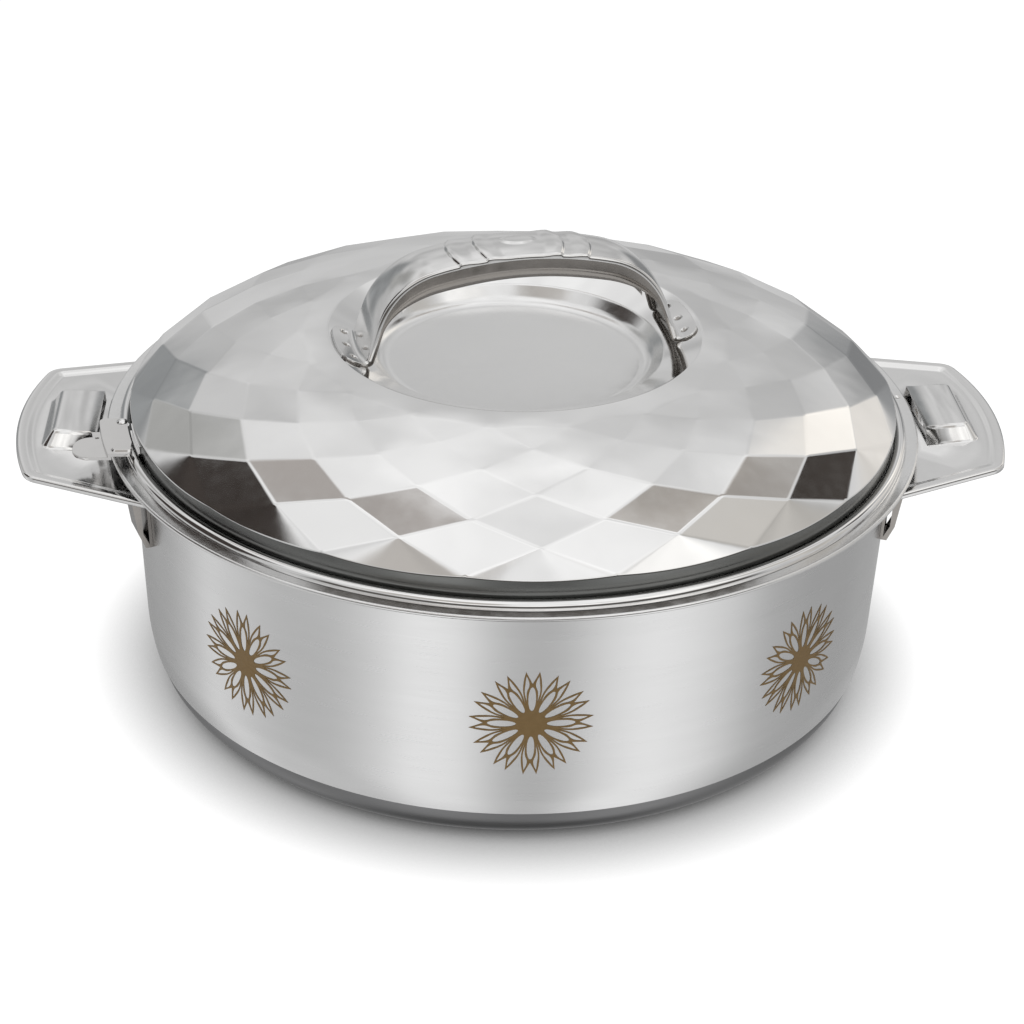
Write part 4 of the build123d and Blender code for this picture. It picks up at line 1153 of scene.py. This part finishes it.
# ---- stage -----------------------------------------------------------------------------------------
def build_camera(settings):
    """Camera at the main viewing angle."""
    target = Vector((0, 0, settings.target_z))
    level = settings.distance * cos(settings.elevation)
    height = settings.distance * sin(settings.elevation)
    offset = Vector((level * cos(settings.azimuth), level * sin(settings.azimuth), height))
    back = offset.normalized()
    right = Vector((0, 0, 1)).cross(back).normalized()
    up = back.cross(right)
    turned = right * cos(settings.roll) + up * sin(settings.roll)
    raised = up * cos(settings.roll) - right * sin(settings.roll)
    data = bpy.data.cameras.new("camera")
    data.lens = settings.lens
    data.sensor_width = 36
    data.shift_x = settings.shift_x
    data.shift_y = settings.shift_y
    camera = bpy.data.objects.new("camera", data)
    axes = Matrix((turned, raised, back)).transposed().to_4x4()
    camera.matrix_world = Matrix.Translation(target + offset) @ axes
    bpy.context.scene.collection.objects.link(camera)
    bpy.context.scene.camera = camera


def build_lamp(settings):
    """Soft square lamp overhead, not seen in reflections."""
    data = bpy.data.lights.new("top lamp", "AREA")
    data.shape = "RECTANGLE"
    data.size = data.size_y = settings.lamp_size
    data.energy = settings.top_watts
    lamp = bpy.data.objects.new("top lamp", data)
    place = Vector((0, -0.15, 1.3))
    target = Vector((0, 0, 0.06))
    facing = (place - target).to_track_quat("Z", "Y").to_matrix().to_4x4()
    lamp.matrix_world = Matrix.Translation(place) @ facing
    lamp.visible_glossy = False
    bpy.context.scene.collection.objects.link(lamp)


def tent_direction(tree):
    """Elevation and azimuth sockets, in degrees, of a point of the tent seen from its middle."""
    place = add(tree, "ShaderNodeTexCoord", "Object", {})
    unit = add(tree, "ShaderNodeVectorMath", "Vector", {0: place}, operation="NORMALIZE")
    parts = add(tree, "ShaderNodeSeparateXYZ", None, {"Vector": unit}).outputs
    height = math_node(tree, "ARCSINE", parts["Z"])
    around = math_node(tree, "ARCTAN2", parts["Y"], parts["X"])
    return math_node(tree, "DEGREES", height), math_node(tree, "DEGREES", around)


def soft_step(tree, value, low, high, start=0.0, end=1.0):
    """Smooth step of a socket from start at low to end at high."""
    ends = {"From Min": low, "From Max": high, "To Min": start, "To Max": end}
    return add(tree, "ShaderNodeMapRange", "Result", {"Value": value, **ends}, interpolation_type="SMOOTHSTEP")


def grey_ramp(tree, value, reach, stops, interpolation):
    """Grey level of a socket that runs from -reach to reach, from (value, level) stops."""
    share = add(tree, "ShaderNodeMapRange", "Result", {"Value": value, "From Min": -reach, "From Max": reach})
    ramp = add(tree, "ShaderNodeValToRGB", None, {"Fac": share})
    ramp.color_ramp.interpolation = interpolation
    marks = ramp.color_ramp.elements
    while len(marks) < len(stops):
        marks.new(0.5)
    for mark, (place, level) in zip(marks, stops):
        mark.position = (place + reach) / (2 * reach)
        mark.color = (level, level, level, 1)
    return ramp.outputs["Color"]


# Grey level of the tent by elevation, above the table
TENT_RISE = (
    (-90, 0.60), (-16, 0.58), (-4, 0.54), (5, 0.54), (12, 0.60), (22, 0.61), (32, 0.64),
    (42, 0.73), (50, 0.84), (60, 0.95), (90, 1.02),
)
# Grey level of the tent by azimuth, below the table's edge: the soft upright bands on the wall
TENT_BANDS = (
    (-180, 0.66), (-165, 0.54), (-150, 0.55), (-138, 0.64), (-127, 0.92), (-117, 1.66), (-107, 0.92),
    (-97, 0.50), (-86, 0.42), (-76, 0.48), (-65, 0.84), (-54, 1.16), (-44, 0.98), (-30, 0.88),
    (-18, 0.60), (-5, 0.42), (20, 0.39), (50, 0.48), (75, 0.44), (100, 0.38), (120, 0.34),
    (135, 0.42), (147, 0.46), (160, 0.88), (170, 0.80), (180, 0.66),
)
TABLE_EDGE = (-24, -8)      # elevations between which the bands turn into the tent above the table
# Panels of the tent: azimuth, elevation, half width, half height, softness (degrees) and colour
TENT_PANELS = {
    "front screen": (-86, 16, 62, 13, 5, (0.095, 0.088, 0.080)),
    "front high panel": (-86, 40, 30, 5, 2, (1.15, 1.14, 1.12)),
    "left dark screen": (168, 28, 21, 18, 3, (0.050, 0.042, 0.038)),
    "right dark screen": (30, 33, 6, 5.5, 2, (0.055, 0.047, 0.042)),
    "left grey panel": (130, 62, 8, 14, 4, (0.44, 0.41, 0.39)),
    "right grey panel": (40, 56, 7, 12, 4, (0.44, 0.41, 0.38)),
    "right cream panel": (50, 30, 6, 10, 3, (1.06, 1.02, 0.96)),
    "low cream panel": (36, 11, 14, 8, 4, (0.80, 0.77, 0.73)),
    "left cool panel": (121, 6, 11, 17, 3, (0.31, 0.32, 0.325)),
    "left side panel": (130, 28, 7, 12, 4, (0.46, 0.46, 0.45)),
    "right cool panel": (60, -1, 8, 15, 3, (0.28, 0.285, 0.29)),
    "side grey panel": (3, 33, 10, 25, 5, (0.56, 0.54, 0.51)),
    "front left panel": (-122, 56, 26, 12, 5, (0.50, 0.475, 0.45)),
    "front right panel": (-38, 50, 20, 15, 6, (1.08, 1.07, 1.05)),
    "table shade": (0, -90, 200, 21, 7, (0.14, 0.14, 0.14)),
}


def stage_piece(name, mesh, material):
    """Object of the stage, from its mesh and material."""
    mesh.materials.append(material)
    piece = bpy.data.objects.new(name, mesh)
    bpy.context.scene.collection.objects.link(piece)
    return piece


def build_tent(settings):
    """Light tent round the set, seen only in reflections."""
    form = bmesh.new()
    bmesh.ops.create_uvsphere(form, u_segments=48, v_segments=24, radius=settings.tent_radius)
    bmesh.ops.reverse_faces(form, faces=form.faces)
    mesh = bpy.data.meshes.new("light_tent")
    form.to_mesh(mesh)
    form.free()
    material = bpy.data.materials.new("tent cloth")
    material.use_nodes = True
    material.cycles.emission_sampling = "NONE"
    tree = material.node_tree
    tree.nodes.clear()
    height, around = tent_direction(tree)
    upper = grey_ramp(tree, height, 90, TENT_RISE, "LINEAR")
    bands = grey_ramp(tree, around, 180, TENT_BANDS, "B_SPLINE")
    shade = mixed(tree, soft_step(tree, height, *TABLE_EDGE), bands, upper)
    for azimuth, elevation, half_width, half_height, soft, tint in TENT_PANELS.values():
        offset = math_node(tree, "WRAP", math_node(tree, "SUBTRACT", around, azimuth), 180, -180)
        side = soft_step(tree, math_node(tree, "ABSOLUTE", offset), half_width - soft, half_width + soft, 1, 0)
        away = math_node(tree, "ABSOLUTE", math_node(tree, "SUBTRACT", height, elevation))
        level = soft_step(tree, away, half_height - soft, half_height + soft, 1, 0)
        shade = mixed(tree, math_node(tree, "MULTIPLY", side, level), shade, tint)
    folds = spread(tree, noise(tree, settings.folds / settings.tent_radius, 1), 0.80, 1.16)
    glow = add(tree, "ShaderNodeEmission", "Emission", {"Color": shade, "Strength": folds})
    add(tree, "ShaderNodeOutputMaterial", None, {"Surface": glow})
    tent = stage_piece("light_tent", mesh, material)
    for ray in ("camera", "diffuse", "shadow", "transmission"):
        setattr(tent, "visible_" + ray, False)


def build_floor(settings):
    """White floor that darkens softly where the pot closes it off from the light."""
    steps = 96
    disc = bpy.data.meshes.new("floor")
    ring = [polar(settings.floor_radius, 2 * pi * k / steps, -settings.floor_gap) for k in range(steps)]
    disc.from_pydata(ring, [], [tuple(range(steps))])
    material, tree, inputs = shader("pale floor")
    fill(tree, inputs, {"Roughness": 0.9, "Base Color": (0.94, 0.94, 0.94, 1), "Specular IOR Level": 0.0})
    closed = add(tree, "ShaderNodeAmbientOcclusion", "AO", {"Distance": settings.shadow_reach}, samples=8)
    shade = math_node(tree, "POWER", closed, settings.shadow_depth)
    glow = math_node(tree, "MULTIPLY", shade, settings.floor_glow)
    soft_light = add(tree, "ShaderNodeEmission", "Emission", {"Strength": glow})
    seen = add(tree, "ShaderNodeLightPath", "Is Camera Ray", {})
    share = math_node(tree, "MULTIPLY", seen, settings.floor_white)
    lit = tree.nodes["Principled BSDF"].outputs["BSDF"]
    surface = add(tree, "ShaderNodeMixShader", "Shader", {"Fac": share, 1: lit, 2: soft_light})
    tree.links.new(surface, tree.nodes["Material Output"].inputs["Surface"])
    floor = stage_piece("floor", disc, material)
    floor.visible_glossy = False


def build_world(settings):
    """White surround for the camera and reflections, a little lower as light."""
    world = bpy.data.worlds.new("white surround")
    bpy.context.scene.world = world
    world.use_nodes = True
    tree = world.node_tree
    path = add(tree, "ShaderNodeLightPath", None, {}).outputs
    seen = math_node(tree, "MAXIMUM", path["Is Camera Ray"], path["Is Glossy Ray"])
    seen = math_node(tree, "MAXIMUM", seen, path["Is Transmission Ray"])
    strength = math_node(tree, "MULTIPLY_ADD", seen, 1 - settings.surround_light, settings.surround_light)
    fill(tree, tree.nodes["Background"].inputs, {"Color": (1, 1, 1, 1), "Strength": strength})


def build_stage(settings):
    """Floor, surround, tent and lamp."""
    bpy.context.scene.view_settings.view_transform = "Standard"
    build_floor(settings)
    build_world(settings)
    build_tent(settings)
    build_lamp(settings)


# ---- operators -------------------------------------------------------------------------------------
class CASSEROLE_OT_pot(bpy.types.Operator):
    """Build the pot's spun sheets: shell, base, bowl and rim"""
    bl_idname = "casserole.pot"
    bl_label = "Pot"

    def execute(self, context):
        build_pot(context.scene.casserole_pot)
        return {"FINISHED"}


class CASSEROLE_OT_prints(bpy.types.Operator):
    """Print the flowers round the shell"""
    bl_idname = "casserole.prints"
    bl_label = "Flower prints"

    def execute(self, context):
        build_prints(context.scene.casserole_pot, context.scene.casserole_print)
        return {"FINISHED"}


class CASSEROLE_OT_lid(bpy.types.Operator):
    """Build the faceted dome and the sheet under it"""
    bl_idname = "casserole.lid"
    bl_label = "Lid"

    def execute(self, context):
        build_dome(context.scene.casserole_lid)
        build_liner(context.scene.casserole_pot, context.scene.casserole_lid)
        return {"FINISHED"}


class CASSEROLE_OT_grip(bpy.types.Operator):
    """Build the arched handle on the lid"""
    bl_idname = "casserole.grip"
    bl_label = "Lid handle"

    def execute(self, context):
        build_grip(context.scene.casserole_lid, context.scene.casserole_grip)
        return {"FINISHED"}


class CASSEROLE_OT_wings(bpy.types.Operator):
    """Build the two side handles"""
    bl_idname = "casserole.wings"
    bl_label = "Side handles"

    def execute(self, context):
        build_wings(context.scene.casserole_wing)
        return {"FINISHED"}


class CASSEROLE_OT_fittings(bpy.types.Operator):
    """Finish the legs, latch, rivets, lug and foam"""
    bl_idname = "casserole.fittings"
    bl_label = "Small fittings"

    def execute(self, context):
        build_fittings()
        return {"FINISHED"}


class CASSEROLE_OT_stage(bpy.types.Operator):
    """Set up the floor, lamp, light tent and camera"""
    bl_idname = "casserole.stage"
    bl_label = "Stage"

    def execute(self, context):
        build_camera(context.scene.casserole_stage)
        build_stage(context.scene.casserole_stage)
        return {"FINISHED"}


STEPS = (
    CASSEROLE_OT_stage,
    CASSEROLE_OT_pot,
    CASSEROLE_OT_prints,
    CASSEROLE_OT_lid,
    CASSEROLE_OT_grip,
    CASSEROLE_OT_wings,
    CASSEROLE_OT_fittings,
)


class CASSEROLE_PT_panel(bpy.types.Panel):
    """Buttons for each step of the casserole"""
    bl_label = "Casserole"
    bl_space_type = "VIEW_3D"
    bl_region_type = "UI"
    bl_category = "Casserole"

    def draw(self, context):
        for step in STEPS:
            self.layout.operator(step.bl_idname)


def register():
    """Register the settings, the steps and the panel."""
    for name, group in SETTINGS.items():
        bpy.utils.register_class(group)
        setattr(bpy.types.Scene, name, bpy.props.PointerProperty(type=group))
    for item in (*STEPS, CASSEROLE_PT_panel):
        bpy.utils.register_class(item)


def unregister():
    """Take them away again."""
    for item in (CASSEROLE_PT_panel, *STEPS):
        bpy.utils.unregister_class(item)
    for name, group in SETTINGS.items():
        delattr(bpy.types.Scene, name)
        bpy.utils.unregister_class(group)


def main():
    """Build every piece and the stage."""
    register()
    bpy.ops.casserole.stage()
    bpy.ops.casserole.pot()
    bpy.ops.casserole.prints()
    bpy.ops.casserole.lid()
    bpy.ops.casserole.grip()
    bpy.ops.casserole.wings()
    bpy.ops.casserole.fittings()


if __name__ == "__main__":
    main()
